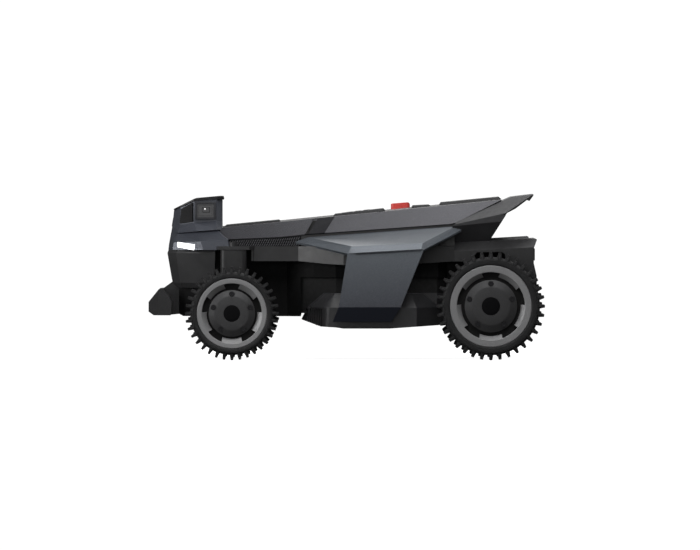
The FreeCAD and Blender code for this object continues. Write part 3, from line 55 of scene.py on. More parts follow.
class M:
    """A procedural material: colour variation, grain, flakes and roughness variation, all from object coordinates."""

    def __init__(self, name):
        self.m = bpy.data.materials.new(name)
        self.m.use_nodes = True
        self.t = self.m.node_tree
        self.b = self.t.nodes["Principled BSDF"]
        self.co = self.t.nodes.new("ShaderNodeTexCoord")
        self.xyz = self.co.outputs["Object"]

    def node(self, kind, **sockets):
        n = self.t.nodes.new(kind)
        for k, v in sockets.items():
            n.inputs[k].default_value = v
        return n

    def link(self, a, b):
        self.t.links.new(a, b)

    def noise(self, scale, detail=3.0, rough=0.55, vec=None):
        n = self.node("ShaderNodeTexNoise", Scale=scale, Detail=detail, Roughness=rough)
        self.link(vec or self.xyz, n.inputs["Vector"])
        return n.outputs["Fac"]

    def ramp(self, fac, a, b, lo=0.0, hi=1.0):
        r = self.t.nodes.new("ShaderNodeMapRange")
        r.inputs["From Min"].default_value = lo
        r.inputs["From Max"].default_value = hi
        r.inputs["To Min"].default_value = a
        r.inputs["To Max"].default_value = b
        self.link(fac, r.inputs["Value"])
        return r.outputs["Result"]

    def mix(self, fac, a, b):
        n = self.t.nodes.new("ShaderNodeMix")
        n.data_type = "RGBA"
        for sock, v in ((n.inputs[0], fac), (n.inputs[6], a), (n.inputs[7], b)):
            if isinstance(v, (tuple, float, int)):
                sock.default_value = v
            else:
                self.link(v, sock)
        return n.outputs[2]

    def math(self, op, a, b=0.0, clamp=False):
        n = self.t.nodes.new("ShaderNodeMath")
        n.operation = op
        n.use_clamp = clamp
        for i, v in enumerate((a, b)):
            if isinstance(v, (float, int)):
                n.inputs[i].default_value = v
            else:
                self.link(v, n.inputs[i])
        return n.outputs[0]

    def sep(self):
        n = self.t.nodes.new("ShaderNodeSeparateXYZ")
        self.link(self.xyz, n.inputs[0])
        return n.outputs

    def bump(self, height, strength=0.2, dist=0.0002):
        n = self.node("ShaderNodeBump", Strength=strength, Distance=dist)
        self.link(height, n.inputs["Height"])
        prev = self.b.inputs["Normal"].links
        if prev:
            self.link(prev[0].from_socket, n.inputs["Normal"])
        self.link(n.outputs["Normal"], self.b.inputs["Normal"])

    def set(self, **k):
        for key, v in k.items():
            self.b.inputs[key.replace("_", " ")].default_value = v


def plastic(name, col, rough=0.5, spec=0.4, grain=2600.0, bump=0.25, vary=0.12, blotch=30.0, dust=0.0):
    """Moulded plastic: fine spark-eroded grain, slow colour drift, a little dust low down."""
    m = M(name)
    big = m.noise(blotch, 4.0)
    fine = m.noise(grain, 2.0)
    dark = tuple(c * (1 - vary) for c in col[:3]) + (1.0,)
    light = tuple(min(1, c * (1 + vary)) for c in col[:3]) + (1.0,)
    c = m.mix(m.ramp(big, 0, 1, 0.35, 0.65), dark, light)
    if dust:
        z = m.sep()[2]
        low = m.ramp(z, 1.0, 0.0, 0.0, 0.09)
        f = m.math("MULTIPLY", m.math("MULTIPLY", low, m.ramp(m.noise(55.0, 6.0), 0, 1, 0.45, 0.75)), dust, True)
        c = m.mix(f, c, rgb(116, 110, 98))
    m.link(c, m.b.inputs["Base Color"])
    m.link(m.ramp(m.noise(140.0, 4.0), rough - 0.06, rough + 0.06, 0.3, 0.7), m.b.inputs["Roughness"])
    m.set(Specular_IOR_Level=spec)
    m.bump(fine, bump, 0.00012)
    return m


def flake(name, col, rough=0.42, metallic=0.35, coat=0.25, sparkle=0.35, tint=None, shade_grad=None):
    """Satin metallic paint: a fine flake that catches light, over a smooth base, under a satin clear coat; an optional
    gradient along one axis paints shade.
    """
    m = M(name)
    big = m.noise(12.0, 3.0)
    dark = tuple(c * 0.94 for c in col[:3]) + (1.0,)
    light = tuple(min(1, c * 1.06) for c in col[:3]) + (1.0,)
    c = m.mix(m.ramp(big, 0, 1, 0.3, 0.7), dark, light)
    # painted shade: the colour fades along one axis to a darker colour
    if shade_grad:
        axis, lo, hi, ca = shade_grad
        f = m.ramp(m.sep()[axis], 0.0, 1.0, lo, hi)
        c = m.mix(f, c, ca)
    v = m.t.nodes.new("ShaderNodeTexVoronoi")
    v.inputs["Scale"].default_value = 2600.0
    m.link(m.xyz, v.inputs["Vector"])
    s = m.t.nodes.new("ShaderNodeSeparateXYZ")
    m.link(v.outputs["Color"], s.inputs[0])
    spark = m.math("MULTIPLY", m.math("POWER", s.outputs[0], 5.0), sparkle)
    bright = tuple(min(1, c * 2.6 + 0.03) for c in col[:3]) + (1.0,)
    c = m.mix(spark, c, bright)
    m.link(c, m.b.inputs["Base Color"])
    m.link(m.ramp(s.outputs[1], rough - 0.07, rough + 0.09), m.b.inputs["Roughness"])
    m.set(Metallic=metallic, Coat_Weight=coat, Coat_Roughness=0.28, Specular_IOR_Level=0.45)
    m.bump(s.outputs[2], 0.10, 0.00008)
    m.bump(m.noise(420.0, 3.0), 0.10, 0.0002)
    return m


def metal(name, col, rough=0.32, brushed=True, aniso=0.0):
    m = M(name)
    mp = m.t.nodes.new("ShaderNodeMapping")
    mp.inputs["Scale"].default_value = (1.0, 1.0, 22.0) if brushed else (1, 1, 1)
    m.link(m.xyz, mp.inputs["Vector"])
    n = m.noise(420.0, 4.0, vec=mp.outputs[0])
    c = m.mix(m.ramp(n, 0, 1, 0.3, 0.7), tuple(c * 0.85 for c in col[:3]) + (1,), col)
    m.link(c, m.b.inputs["Base Color"])
    m.link(m.ramp(n, rough - 0.08, rough + 0.10, 0.3, 0.7), m.b.inputs["Roughness"])
    m.set(Metallic=1.0)
    m.bump(n, 0.12, 0.0001)
    return m


def gloss(name, col, rough=0.06, coat=1.0, spec=0.5):
    m = M(name)
    c = m.mix(m.ramp(m.noise(9.0, 2.0), 0, 1, 0.3, 0.7), tuple(c * 0.8 for c in col[:3]) + (1,), col)
    m.link(c, m.b.inputs["Base Color"])
    m.link(m.ramp(m.noise(60.0, 5.0), rough, rough + 0.05, 0.4, 0.75), m.b.inputs["Roughness"])
    m.set(Coat_Weight=coat, Coat_Roughness=rough * 0.6, Specular_IOR_Level=spec)
    m.bump(m.noise(25.0, 2.0), 0.02, 0.0003)
    return m


def rubber(name):
    """Tyre rubber: dull black, moulding grain, a slow random change of tone."""
    m = M(name)
    big = m.noise(38.0, 5.0)
    c = m.mix(m.ramp(big, 0, 1, 0.3, 0.7), rgb(29, 29, 30), rgb(40, 40, 41))
    m.link(c, m.b.inputs["Base Color"])
    m.link(m.ramp(m.noise(210.0, 5.0), 0.62, 0.80, 0.3, 0.7), m.b.inputs["Roughness"])
    m.set(Specular_IOR_Level=0.38)
    m.bump(m.noise(1500.0, 3.0), 0.35, 0.0002)
    m.bump(m.noise(240.0, 4.0), 0.14, 0.0004)
    return m


def wheel_plastic_recess_shade(name, face, col, recess_shade_col, depth):
    """Wheel plastic with painted shade: near black below the bevel, where the centre disc lies deeper than depth
    behind the face.
    """
    m = M(name)
    y = m.math("ABSOLUTE", m.sep()[1])
    deep = m.ramp(y, 1.0, 0.0, face - depth - 0.0004, face - depth + 0.0002)
    big = m.noise(24.0, 4.0)
    c = m.mix(m.ramp(big, 0, 1, 0.3, 0.7), tuple(k * 0.92 for k in col[:3]) + (1,), col)
    v = m.t.nodes.new("ShaderNodeTexVoronoi")
    v.inputs["Scale"].default_value = 2600.0
    m.link(m.xyz, v.inputs["Vector"])
    s = m.t.nodes.new("ShaderNodeSeparateXYZ")
    m.link(v.outputs["Color"], s.inputs[0])
    c = m.mix(m.math("MULTIPLY", m.math("POWER", s.outputs[0], 5.0), 0.3), c, tuple(min(1, k * 2.2) for k in col[:3]) + (1,))
    # painted shade: parts deeper than depth behind the face go near black
    c = m.mix(deep, c, recess_shade_col)
    m.link(c, m.b.inputs["Base Color"])
    m.link(m.math("SUBTRACT", 0.35, m.math("MULTIPLY", deep, 0.35)), m.b.inputs["Metallic"])
    m.link(m.math("ADD", m.ramp(s.outputs[1], 0.36, 0.50), m.math("MULTIPLY", deep, 0.25)), m.b.inputs["Roughness"])
    m.set(Specular_IOR_Level=0.4)
    m.bump(m.noise(900.0, 3.0), 0.10, 0.0002)
    return m


black = plastic("mat_black_plastic", rgb(30, 30, 31), 0.55, 0.30, dust=0.10)
tubm = plastic("mat_tub", rgb(14, 14, 15), 0.60, 0.16, dust=0.05)
deckm = plastic("mat_deck", rgb(54, 54, 56), 0.36, 0.45, dust=0.05)
waist = plastic("mat_waist", rgb(48, 48, 49), 0.34, 0.42, grain=1900.0)
nosem = plastic("mat_nose", rgb(50, 50, 51), 0.36, 0.45, grain=1900.0)
columnm = plastic("mat_column", rgb(40, 40, 41), 0.42, 0.45)
bumperm = plastic("mat_bumper", rgb(44, 44, 45), 0.50, 0.40, grain=1500.0, bump=0.4)
headm = flake("mat_head", rgb(72, 75, 83), 0.34, 0.40, 0.25, 0.2)
# painted shade: the side panel colour darkens towards the front
panel = flake("mat_panel", rgb(88, 88, 92), 0.40, 0.45, 0.0, 0.45, shade_grad=(0, -0.20, 0.22, rgb(56, 56, 60)))
coverm = flake("mat_cover", rgb(24, 24, 26), 0.46, 0.20, 0.05, 0.3)
# painted shade: the flank colour darkens towards its lower edge
flankm = flake("mat_flank", rgb(90, 95, 101), 0.34, 0.42, 0.2, 0.3, shade_grad=(2, 0.186, 0.100, rgb(60, 62, 70)))
spoil = plastic("mat_spoiler", rgb(58, 58, 60), 0.42, 0.42, grain=1900.0)
glossb = gloss("mat_gloss_black", rgb(7, 7, 9), 0.40, 0.0, 0.12)
lensm = gloss("mat_lens", rgb(10, 11, 20), 0.02)
bezel = flake("mat_bezel", rgb(44, 45, 49), 0.30, 0.3, 0.3, 0.1)
steel = metal("mat_steel", rgb(176, 178, 182), 0.30)
blackscrew = metal("mat_dark_screw", rgb(64, 64, 66), 0.38, brushed=False)
alum = metal("mat_motor", rgb(140, 142, 146), 0.42, brushed=False)
brass = metal("mat_contact", rgb(206, 178, 120), 0.28)
tyrem = rubber("mat_tyre")
boardm = plastic("mat_board", rgb(22, 84, 50), 0.35, 0.5)
# painted shade: near black for the shade inside gaps and behind the vent ribs
gap_shade = plastic("mat_gap_shade", rgb(10, 10, 11), 0.8, 0.1)
ventm = plastic("mat_vent", rgb(84, 84, 87), 0.42, 0.4)
redm = plastic("mat_stop_red", rgb(226, 74, 68), 0.42, 0.5, grain=1400.0, bump=0.12, vary=0.05)

lampm = M("mat_headlight")
stripe = lampm.t.nodes.new("ShaderNodeTexWave")
stripe.inputs["Scale"].default_value = 160.0
lampm.link(lampm.xyz, stripe.inputs["Vector"])
lampm.link(lampm.mix(lampm.ramp(stripe.outputs["Fac"], 0, 1), rgb(244, 246, 250), rgb(255, 255, 255)), lampm.b.inputs["Base Color"])
lampm.set(Roughness=0.2, Emission_Color=(1.0, 1.0, 1.0, 1.0), Emission_Strength=2.2, Coat_Weight=0.8)

# painted glint: a glowing white dot stands in for light caught on the side camera's sensor window
glint = M("mat_sensor_glint")
glint.link(glint.mix(glint.noise(500.0), rgb(230, 230, 225), rgb(255, 255, 255)), glint.b.inputs["Base Color"])
glint.set(Roughness=0.3, Emission_Color=(1.0, 0.98, 0.95, 1.0), Emission_Strength=1.0)

rim_front = wheel_plastic_recess_shade("mat_rim_front", 0.250, rgb(150, 150, 151), rgb(9, 9, 9), 0.0112)
rim_rear = wheel_plastic_recess_shade("mat_rim_rear", 0.255, rgb(150, 150, 151), rgb(9, 9, 9), 0.0112)
cap_front = wheel_plastic_recess_shade("mat_cap_front", 0.250, rgb(70, 70, 71), rgb(12, 12, 12), 0.0070)
cap_rear = wheel_plastic_recess_shade("mat_cap_rear", 0.255, rgb(70, 70, 71), rgb(12, 12, 12), 0.0070)

# the side panels: painted shade makes the recessed facet behind the slot darker, and paints the slot itself near black
f = panel
ax_ = f.math("ABSOLUTE", f.sep()[1])
x_, z_ = f.sep()[0], f.sep()[2]
front_edge = f.math("ADD", x_, f.math("MULTIPLY", z_, 0.60))
rear_edge = f.math("ADD", x_, f.math("MULTIPLY", z_, 0.632))
in_front = f.ramp(front_edge, 1.0, 0.0, 0.2099, 0.2101)
behind = f.ramp(rear_edge, 0.0, 1.0, 0.1887, 0.1889)
# painted shade: the slanted slot in front of the facet, below z 257 mm, goes near black
slot_shade = f.math("MULTIPLY", f.ramp(front_edge, 0.0, 1.0, 0.2099, 0.2101), f.ramp(front_edge, 1.0, 0.0, 0.2162, 0.2164))
slot_shade = f.math("MULTIPLY", slot_shade, f.ramp(z_, 1.0, 0.0, 0.2572, 0.2576))
src = f.b.inputs["Base Color"].links[0].from_socket
# painted shade on the facet between the two slanted lines
c_ = f.mix(f.math("MULTIPLY", in_front, behind), src, rgb(22, 22, 27))
f.link(f.mix(slot_shade, c_, rgb(3, 3, 3)), f.b.inputs["Base Color"])
f.set(Specular_IOR_Level=0.16)

# the deck: its side curtains are black like the tub
f = deckm
x_, z_ = f.sep()[0], f.sep()[2]
rake_a = f.math("SUBTRACT", 0.1595, f.math("MULTIPLY", x_, 0.8643))
rake_b = f.math("SUBTRACT", 0.22976, f.math("MULTIPLY", x_, 1.868))
top_ = f.math("MINIMUM", f.math("MINIMUM", rake_a, rake_b), 0.1230)
up_ = f.ramp(f.math("SUBTRACT", z_, top_), 0.0, 1.0, 0.0005, 0.0009)
src = f.b.inputs["Base Color"].links[0].from_socket
f.link(f.mix(up_, src, rgb(11, 11, 12)), f.b.inputs["Base Color"])
rsrc = f.b.inputs["Roughness"].links[0].from_socket
f.link(f.math("ADD", rsrc, f.math("MULTIPLY", up_, 0.34)), f.b.inputs["Roughness"])

# the flank panel: lower foot is a darker navy strip
f = flankm
z = f.sep()[2]
low = f.ramp(z, 1.0, 0.0, 0.0975, 0.0983)
src = f.b.inputs["Base Color"].links[0].from_socket
f.link(f.mix(low, src, rgb(40, 43, 54)), f.b.inputs["Base Color"])


def paint(mat, *names):
    for n in names:
        o = N[n]
        o.data.materials.clear()
        o.data.materials.append(mat.m)


def edges(name, width=0.0006, angle=30.0, segments=2):
    """Weld the facets of a CAD node together and round its sharp edges a little."""
    o = N[name]
    bpy.context.view_layer.objects.active = o
    o.select_set(True)
    if o.data.has_custom_normals:
        bpy.ops.mesh.customdata_custom_splitnormals_clear()
    o.select_set(False)
    for poly in o.data.polygons:
        poly.use_smooth = True
    w = o.modifiers.new("weld", "WELD")
    w.merge_threshold = 0.00002
    b = o.modifiers.new("bevel", "BEVEL")
    b.width = width
    b.segments = segments
    b.limit_method = "ANGLE"
    b.angle_limit = math.radians(angle)
    b.use_clamp_overlap = True
    b.harden_normals = False
    b.miter_outer = "MITER_ARC"
    n = o.modifiers.new("normals", "WEIGHTED_NORMAL")
    n.keep_sharp = True
    n.weight = 100


paint(tubm, "chassis_tub")
paint(black, "battery_pack", "battery_cover")
paint(columnm, "left_steering_column", "right_steering_column")
paint(bumperm, "front_bumper")
paint(deckm, "cutting_deck")
paint(waist, "waist_shell", "rear_shell")
paint(nosem, "nose_shell")
paint(headm, "head_shell")
paint(coverm, "head_roof", "top_cover")
paint(glossb, "camera_windows", "control_pane")
paint(bezel, "camera_housings")
paint(lensm, "camera_lenses")
paint(lampm, "headlight_lenses")
paint(panel, "left_side_panel", "right_side_panel")
paint(spoil, "spoiler")
paint(flankm, "left_flank_panel", "right_flank_panel")
paint(brass, "charging_contacts")
paint(alum, "front_left_motor", "front_right_motor", "rear_motors", "left_steering_motor", "right_steering_motor",
      "blade_motors", "lift_motor")
paint(steel, "guide_rods", "lift_screw", "left_blade_disc", "right_blade_disc")
paint(boardm, "main_board")
paint(redm, "stop_button")
for s in ("left", "right"):
    for i in (1, 2, 3):
        paint(steel, "%s_blade_%d" % (s, i))
paint(steel, "chassis_screws")
for w, (cx, cz, fy, sg, R) in WHEELS.items():
    front = w.startswith("front")
    paint(tyrem, w + "_tyre")
    paint(rim_front if front else rim_rear, w + "_rim")
    paint(cap_front if front else cap_rear, w + "_hub_cap")
    paint(blackscrew, w + "_hub_screws")

for n, wd, an in (("chassis_tub", 0.0012, 12), ("left_steering_column", 0.0008, 30), ("right_steering_column", 0.0008, 30),
                  ("front_bumper", 0.0014, 12), ("cutting_deck", 0.0009, 24), ("waist_shell", 0.0012, 12), ("rear_shell", 0.0020, 12),
                  ("nose_shell", 0.0012, 8), ("head_shell", 0.0008, 6), ("head_roof", 0.0008, 10), ("top_cover", 0.0008, 10),
                  ("left_side_panel", 0.0006, 14), ("right_side_panel", 0.0006, 14), ("spoiler", 0.0010, 14),
                  ("left_flank_panel", 0.0012, 19), ("right_flank_panel", 0.0012, 19), ("camera_housings", 0.0005, 20),
                  ("camera_windows", 0.0004, 20), ("control_pane", 0.0004, 20), ("headlight_lenses", 0.0003, 20),
                  ("stop_button", 0.0009, 20), ("battery_cover", 0.0005, 30)):
    edges(n, wd, an)
for w in WHEELS:
    edges(w + "_tyre", 0.0007, 34.0, 2)
    edges(w + "_rim", 0.0005, 30.0, 2)
    edges(w + "_hub_cap", 0.0005, 28.0, 2)
    edges(w + "_hub_screws", 0.0003, 30.0, 1)


# ------------------------------------------------------------------ detail pieces
def mesh_piece(name, bm, mat, body, bevel=0.0, segments=2, smooth=True):
    me = bpy.data.meshes.new(name)
    bmesh.ops.recalc_face_normals(bm, faces=bm.faces)
    bm.to_mesh(me)
    bm.free()
    o = bpy.data.objects.new(name, me)
    bpy.context.scene.collection.objects.link(o)
    me.materials.append(mat.m)
    if smooth:
        for poly in me.polygons:
            poly.use_smooth = True
    if bevel:
        b = o.modifiers.new("bevel", "BEVEL")
        b.width = bevel
        b.segments = segments
        b.limit_method = "ANGLE"
        b.angle_limit = math.radians(30)
    n = o.modifiers.new("normals", "WEIGHTED_NORMAL")
    n.keep_sharp = True
    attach(o, body)
    return o


def add_hex(bm, pts):
    """Closed block of eight corners: four of one end, four of the other."""
    v = [bm.verts.new(q) for q in pts]
    for a, b, c, d in ((0, 1, 2, 3), (7, 6, 5, 4), (0, 4, 5, 1), (1, 5, 6, 2), (2, 6, 7, 3), (3, 7, 4, 0)):
        bm.faces.new((v[a], v[b], v[c], v[d]))


def add_box(bm, x0, x1, y0, y1, z0, z1):
    add_hex(bm, [(x0, y0, z0), (x1, y0, z0), (x1, y1, z0), (x0, y1, z0), (x0, y0, z1), (x1, y0, z1), (x1, y1, z1), (x0, y1, z1)])


def add_lathe(bm, profile, centre, sign, seg=96):
    """Ring of (radius, depth behind the face) points turned about the wheel axis; depth grows inwards."""
    cx, cz, fy = centre
    rings = []
    for k in range(seg):
        a = 2 * math.pi * k / seg
        rings.append([bm.verts.new((cx + r * math.cos(a), sign * (fy - d), cz + r * math.sin(a))) for r, d in profile])
    n = len(profile)
    for k in range(seg):
        A, B = rings[k], rings[(k + 1) % seg]
        for i in range(n):
            j = (i + 1) % n
            bm.faces.new((A[i], A[j], B[j], B[i]))


def add_disc(bm, r, bevel, y0, y1, cx, cz, sign, seg=64):
    """Domed disc: back at y0, front at y1."""
    prof = [(r, y0), (r, y1 - bevel * sign), (r - bevel, y1), (r * 0.5, y1 + 0.00012 * sign)]
    rings = []
    for k in range(seg):
        a = 2 * math.pi * k / seg
        rings.append([bm.verts.new((cx + q * math.cos(a), y, cz + q * math.sin(a))) for q, y in prof])
    for k in range(seg):
        A, B = rings[k], rings[(k + 1) % seg]
        for i in range(len(prof) - 1):
            bm.faces.new((A[i], A[i + 1], B[i + 1], B[i]))
    bm.faces.new([q[0] for q in rings])
    bm.faces.new([q[-1] for q in rings])


LOW = [(222.0, 122.0, 222.8), (122.7, 142.0, 227.2), (75.8, 150.0, 232.2), (39.9, 153.0, 234.8), (-191.8, 168.0, 251.6), (-203.0, 169.0, 254.0)]


def low_at(x):
    for a, b in zip(LOW, LOW[1:]):
        if a[0] >= x >= b[0]:
            t = (a[0] - x) / (a[0] - b[0])
            return a[1] + t * (b[1] - a[1]), a[2] + t * (b[2] - a[2])
    return LOW[0][1:] if x > LOW[0][0] else LOW[-1][1:]


# vent strip on the upstand, each side: a near-black ground that paints the shade behind the ribs, and three rows of
# slanted ribs
for side, sg in SIDES:
    bm = bmesh.new()
    xs = [218.5, 190.0, 160.0, 141.0, 122.7, 100.0, 84.0]
    for a, b in zip(xs, xs[1:]):
        (ya, za), (yb, zb) = low_at(a), low_at(b)
        q = [(a, ya - 3.02, 210.25), (b, yb - 3.02, 210.25), (b, yb - 3.02, zb - 1.9), (a, ya - 3.02, za - 1.9)]
        add_hex(bm, [(px * mm, sg * (py + 0.0) * mm, pz * mm) for px, py, pz in q] + [(px * mm, sg * (py + 0.22) * mm, pz * mm) for px, py, pz in q])
    bmesh.ops.remove_doubles(bm, verts=bm.verts, dist=1e-7)
    mesh_piece("vent_shade_ground_" + side, bm, gap_shade, "chassis", smooth=False)
    bm = bmesh.new()
    x = 216.5
    while x > 88.0:
        y, zt = low_at(x)
        z_lo, z_hi = 210.5, zt - 2.4
        hgt = (z_hi - z_lo) / 3
        for r in range(3):
            zb, zc = z_lo + r * hgt + 0.3, z_lo + (r + 1) * hgt - 0.3
            lean = (zc - zb) * 0.6
            xa = x - 2.1 * (r % 2)
            w = 2.1
            y0, y1 = y - 3.0 + 0.1, y - 3.0 + 1.5
            ps = ((xa, zb), (xa - w, zb), (xa - w - lean, zc), (xa - lean, zc))
            add_hex(bm, [(px * mm, sg * y0 * mm, pz * mm) for px, pz in ps] +
                    [((px - 0.25 * (1 if k in (0, 3) else -1)) * mm, sg * y1 * mm, pz * mm) for k, (px, pz) in enumerate(ps)])
        x -= 4.2
    mesh_piece("vent_ribs_" + side, bm, ventm, "chassis", 0.0002, 1)

# gap lines of the waist and nose mouldings: thin near-black strips paint the shade in the gaps
for side, sg in SIDES:
    bm = bmesh.new()
    y = 150 + (184 - 171.8) * 7 / 95
    add_box(bm, 171.45 * mm, 172.15 * mm, sg * (y - 0.5) * mm, sg * (y + 0.12) * mm, 182.9 * mm, 209.6 * mm)
    mesh_piece("waist_seam_shade_" + side, bm, gap_shade, "chassis", 0.0001, 1)

# hub badges, sidewall rings and lug roots
for w, (cx, cz, fy, sg, R) in WHEELS.items():
    front = w.startswith("front")
    br = 15.3 if front else 16.8
    bm = bmesh.new()
    add_disc(bm, br * mm, 0.0004, sg * (fy - 0.00175), sg * (fy - 0.0011), cx, cz, sg)
    mesh_piece(w + "_badge", bm, glossb, w + "_wheel")
    S = 0.075 if front else 0.0888
    rr = 0.065 if front else 0.0757
    Wd = 0.060 if front else 0.066
    for inner in (0, 1):
        bm = bmesh.new()
        for r0, hgt, wid in ((S - 0.0026, 0.0007, 0.0007), (rr + 0.0036, 0.0006, 0.0006)):
            base = 0.00005 if not inner else Wd - 0.00005
            d = -1 if not inner else 1
            prof = [(r0 - wid, base - d * 0.0012), (r0 + wid, base - d * 0.0012), (r0 + wid * 0.7, base + d * hgt * 0.0), (r0 - wid * 0.7, base + d * hgt * 0.0)]
            prof = [(r0 - wid, base - d * 0.0010), (r0 - wid * 0.5, base - d * 0.00002), (r0 + wid * 0.5, base - d * 0.00002), (r0 + wid, base - d * 0.0010)]
            add_lathe(bm, prof, (cx, cz, fy), sg)
        mesh_piece(w + ("_bead_out" if not inner else "_bead_in"), bm, tyrem, w + "_wheel")
    # wedge at the root of each lug, on both shoulders
    bm = bmesh.new()
    for i in range(36):
        a = 2 * math.pi * i / 36
        ca, sa = math.cos(a), math.sin(a)
        for near in (0, 1):
            d0, d1, d2 = (0.0034, 0.0012, 0.0024) if not near else (Wd - 0.0034, Wd - 0.0012, Wd - 0.0024)
            pts = []
            for r, d, hw in ((S - 0.0012, d0, 0.0032), (S + 0.0070, d0, 0.0021)):
                for t in (-hw, hw):
                    pts.append((r, t, d))
            q = [(S - 0.0022, -0.0034, d0), (S - 0.0022, 0.0034, d0), (S + 0.0072, 0.0022, d0), (S + 0.0072, -0.0022, d0),
                 (S - 0.0010, -0.0024, d1), (S - 0.0010, 0.0024, d1), (S + 0.0056, 0.0014, d2), (S + 0.0056, -0.0014, d2)]
            add_hex(bm, [(cx + r * ca - t * sa, sg * (fy - d), cz + r * sa + t * ca) for r, t, d in q])
    mesh_piece(w + "_lug_roots", bm, tyrem, w + "_wheel", 0.0003, 1)

# side cameras: inner frame, sensor window, and a small glowing dot that paints a glint on the window
for side, sg in SIDES:
    b0, b1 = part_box("camera_lenses")
    yl = b1.y
    bm = bmesh.new()
    fr = [(278.6, 262.0, 244.8, 289.4), (274.6, 265.8, 249.0, 285.6)]
    (xa, za, xb, zb), (xc, zc, xd, zd) = fr
    y0, y1 = yl - 0.0003, yl + 0.0004
    for q in (((xc, zc), (xd, zc), (xd, zc + 0.7), (xc, zc + 0.7)), ((xc, zd - 0.7), (xd, zd - 0.7), (xd, zd), (xc, zd)),
              ((xc, zc + 0.7), (xc - 0.7, zc + 0.7), (xc - 0.7, zd - 0.7), (xc, zd - 0.7)),
              ((xd + 0.7, zc + 0.7), (xd, zc + 0.7), (xd, zd - 0.7), (xd + 0.7, zd - 0.7))):
        add_hex(bm, [(px * mm, sg * y0, pz * mm) for px, pz in q] + [(px * mm, sg * y1, pz * mm) for px, pz in q])
    mesh_piece("side_camera_frame_" + side, bm, columnm, "chassis", 0.00015, 1)
    bm = bmesh.new()
    add_box(bm, 253.2 * mm, 268.4 * mm, sg * (yl - 0.0002), sg * (yl + 0.0005), 272.2 * mm, 282.2 * mm)
    mesh_piece("side_camera_sensor_" + side, bm, columnm, "chassis", 0.0003, 2)
    bm = bmesh.new()
    add_box(bm, 254.6 * mm, 267.0 * mm, sg * (yl + 0.0004), sg * (yl + 0.0007), 273.4 * mm, 281.0 * mm)
    mesh_piece("side_camera_glass_" + side, bm, lensm, "chassis", 0.0002, 2)
    bm = bmesh.new()
    add_disc(bm, 1.3 * mm, 0.0002, sg * (yl + 0.0006), sg * (yl + 0.0010), 262.6 * mm, 278.9 * mm, sg, 24)
    mesh_piece("side_camera_glint_dot_" + side, bm, glint, "chassis")

# forward cameras: ring and dome on each lens
for yy, rad in ((-30.0, 8.5), (0.0, 6.0), (30.0, 8.5)):
    bm = bmesh.new()
    c = Vector((0.0, yy * mm, 254 * mm))
    ax = Vector((1, 0, 0.153)).normalized()
    up = Vector((-0.153, 0, 1)).normalized()
    sd = Vector((0, 1, 0))
    xf = 323.0 + (254 - 250.0) * (318.4 - 323.0) / 30.0
    base = Vector((xf * mm, yy * mm, 254 * mm)) + ax * 0.0006
    seg = 48
    prof = [(rad - 0.2, -0.0006), (rad - 0.2, 0.0004), (rad - 0.9, 0.0007), (rad - 1.7, 0.0003), (rad - 1.7, -0.0006)]
    rings = []
    for k in range(seg):
        a = 2 * math.pi * k / seg
        rings.append([bm.verts.new(base + (up * math.cos(a) + sd * math.sin(a)) * (r * mm) + ax * d) for r, d in prof])
    for k in range(seg):
        A, B = rings[k], rings[(k + 1) % seg]
        for i in range(len(prof)):
            bm.faces.new((A[i], A[(i + 1) % len(prof)], B[(i + 1) % len(prof)], B[i]))
    mesh_piece("front_lens_ring_%d" % int(yy + 50), bm, bezel, "chassis")
    bm = bmesh.new()
    rings = []
    R0 = (rad - 1.8) * mm
    for j in range(7):
        t = j / 7 * math.pi / 2
        rings.append([bm.verts.new(base + (up * math.cos(2 * math.pi * k / seg) + sd * math.sin(2 * math.pi * k / seg)) * (R0 * math.cos(t)) +
                                   ax * (0.0012 * math.sin(t) - 0.0005)) for k in range(seg)])
    tip = bm.verts.new(base + ax * 0.0007)
    for A, B in zip(rings, rings[1:]):
        for k in range(seg):
            bm.faces.new((A[k], A[(k + 1) % seg], B[(k + 1) % seg], B[k]))
    for k in range(seg):
        bm.faces.new((rings[-1][k], rings[-1][(k + 1) % seg], tip))
    bm.faces.new(rings[0])
    mesh_piece("front_lens_dome_%d" % int(yy + 50), bm, lensm, "chassis")


# control pane: three round touch keys
def z_top(x):
    return 244.4 + 0.1002 * (227.1 - x)


for i, (x, y, r) in enumerate(((-6, -24, 6.0), (-22, -24, 6.0), (-38, -24, 6.0))):
    bm = bmesh.new()
    zc = (z_top(x) + 4.72 + (8 - x) / 62 * 1.2 + 0.2) * mm
    seg = 40
    prof = [(r, -0.0008), (r, 0.0002), (r - 0.5, 0.0005), (r - 1.2, 0.0003), (0.001, 0.00015)]
    rings = []
    for k in range(seg):
        a = 2 * math.pi * k / seg
        rings.append([bm.verts.new((x * mm + q * mm * math.cos(a), y * mm + q * mm * math.sin(a), zc + d - 0.1 * q * mm * math.cos(a))) for q, d in prof])
    for k in range(seg):
        A, B = rings[k], rings[(k + 1) % seg]
        for j in range(len(prof) - 1):
            bm.faces.new((A[j], A[j + 1], B[j + 1], B[j]))
    bm.faces.new([q[0] for q in rings])
    bm.faces.new([q[-1] for q in rings])
    mesh_piece("control_key_%d" % (i + 1), bm, columnm, "chassis")

# ------------------------------------------------------------------ stage
floor_m = M("mat_floor")
floor_m.link(floor_m.mix(floor_m.noise(2.0, 2.0), (0.86, 0.86, 0.86, 1), (0.88, 0.88, 0.88, 1)), floor_m.b.inputs["Base Color"])
floor_m.set(Roughness=0.9, Specular_IOR_Level=0.0, Emission_Color=(1, 1, 1, 1), Emission_Strength=0.93)
bm = bmesh.new()
bmesh.ops.create_circle(bm, cap_ends=True, radius=2.4, segments=96)
me = bpy.data.meshes.new("floor")
bm.to_mesh(me)
bm.free()
floor = bpy.data.objects.new("floor", me)
bpy.context.scene.collection.objects.link(floor)
me.materials.append(floor_m.m)
floor.visible_diffuse = False
floor.visible_glossy = False
floor.location.z = -0.0004

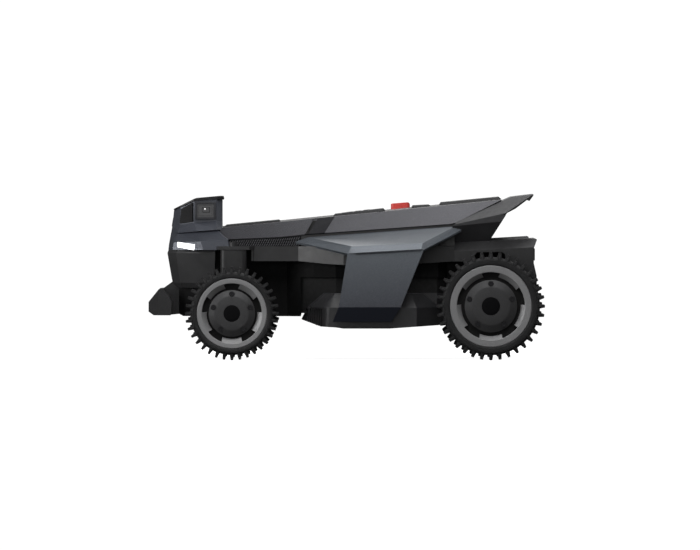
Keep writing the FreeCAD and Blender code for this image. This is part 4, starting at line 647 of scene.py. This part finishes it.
world = bpy.data.worlds.new("studio")
bpy.context.scene.world = world
world.use_nodes = True
wt = world.node_tree
bgn = wt.nodes["Background"]
out = wt.nodes["World Output"]
bgn.inputs["Color"].default_value = (1, 1, 1, 1)
bgn.inputs["Strength"].default_value = 0.07
cam_bg = wt.nodes.new("ShaderNodeBackground")
cam_bg.inputs["Color"].default_value = (1, 1, 1, 1)
cam_bg.inputs["Strength"].default_value = 1.05
lp = wt.nodes.new("ShaderNodeLightPath")
mx = wt.nodes.new("ShaderNodeMixShader")
wt.links.new(lp.outputs["Is Camera Ray"], mx.inputs[0])
wt.links.new(bgn.outputs[0], mx.inputs[1])
wt.links.new(cam_bg.outputs[0], mx.inputs[2])
wt.links.new(mx.outputs[0], out.inputs["Surface"])


def area(name, loc, target, size, power, colour=(1, 1, 1), sy=None):
    d = bpy.data.lights.new(name, "AREA")
    d.shape = "RECTANGLE"
    d.size = size
    d.size_y = sy or size
    d.energy = power
    d.color = colour
    o = bpy.data.objects.new(name, d)
    o.location = loc
    o.rotation_euler = (Vector(target) - Vector(loc)).to_track_quat("-Z", "Y").to_euler()
    bpy.context.scene.collection.objects.link(o)
    return o


area("key_side", (0.05, 0.80, 0.98), (0.0, 0.14, 0.16), 1.8, 8.0, sy=0.5)
area("key_top", (-0.1, 0.0, 1.5), (0, 0, 0.2), 1.8, 7.0, sy=0.8)
area("fill_front", (0.6, 3.0, 0.5), (0, 0, 0.12), 2.2, 5.5, sy=0.9)
area("strip_nose", (1.5, 0.75, 0.45), (0.3, 0.05, 0.2), 0.5, 9.0, sy=0.8)
area("back_rim", (-0.4, -1.6, 1.2), (0, 0, 0.15), 1.6, 10.0, sy=0.8)
area("tail", (-1.7, 0.3, 0.9), (-0.25, 0, 0.2), 0.8, 3.5, sy=1.0)

cam = bpy.data.cameras.new("camera")
cam.sensor_width = 36.0
cam.lens = 36.0 * 30.0 / 1.295
cam.clip_start = 1.0
cam.clip_end = 300
co = bpy.data.objects.new("camera", cam)
bpy.context.scene.collection.objects.link(co)
elev = math.radians(0.5)
tgt = Vector((-0.00675, 0.20, 0.15725))
co.location = tgt + Vector((0, math.cos(elev), math.sin(elev))) * 30.0
co.rotation_euler = (tgt - co.location).to_track_quat("-Z", "Y").to_euler()
bpy.context.scene.camera = co
bpy.context.scene.view_settings.view_transform = "Standard"
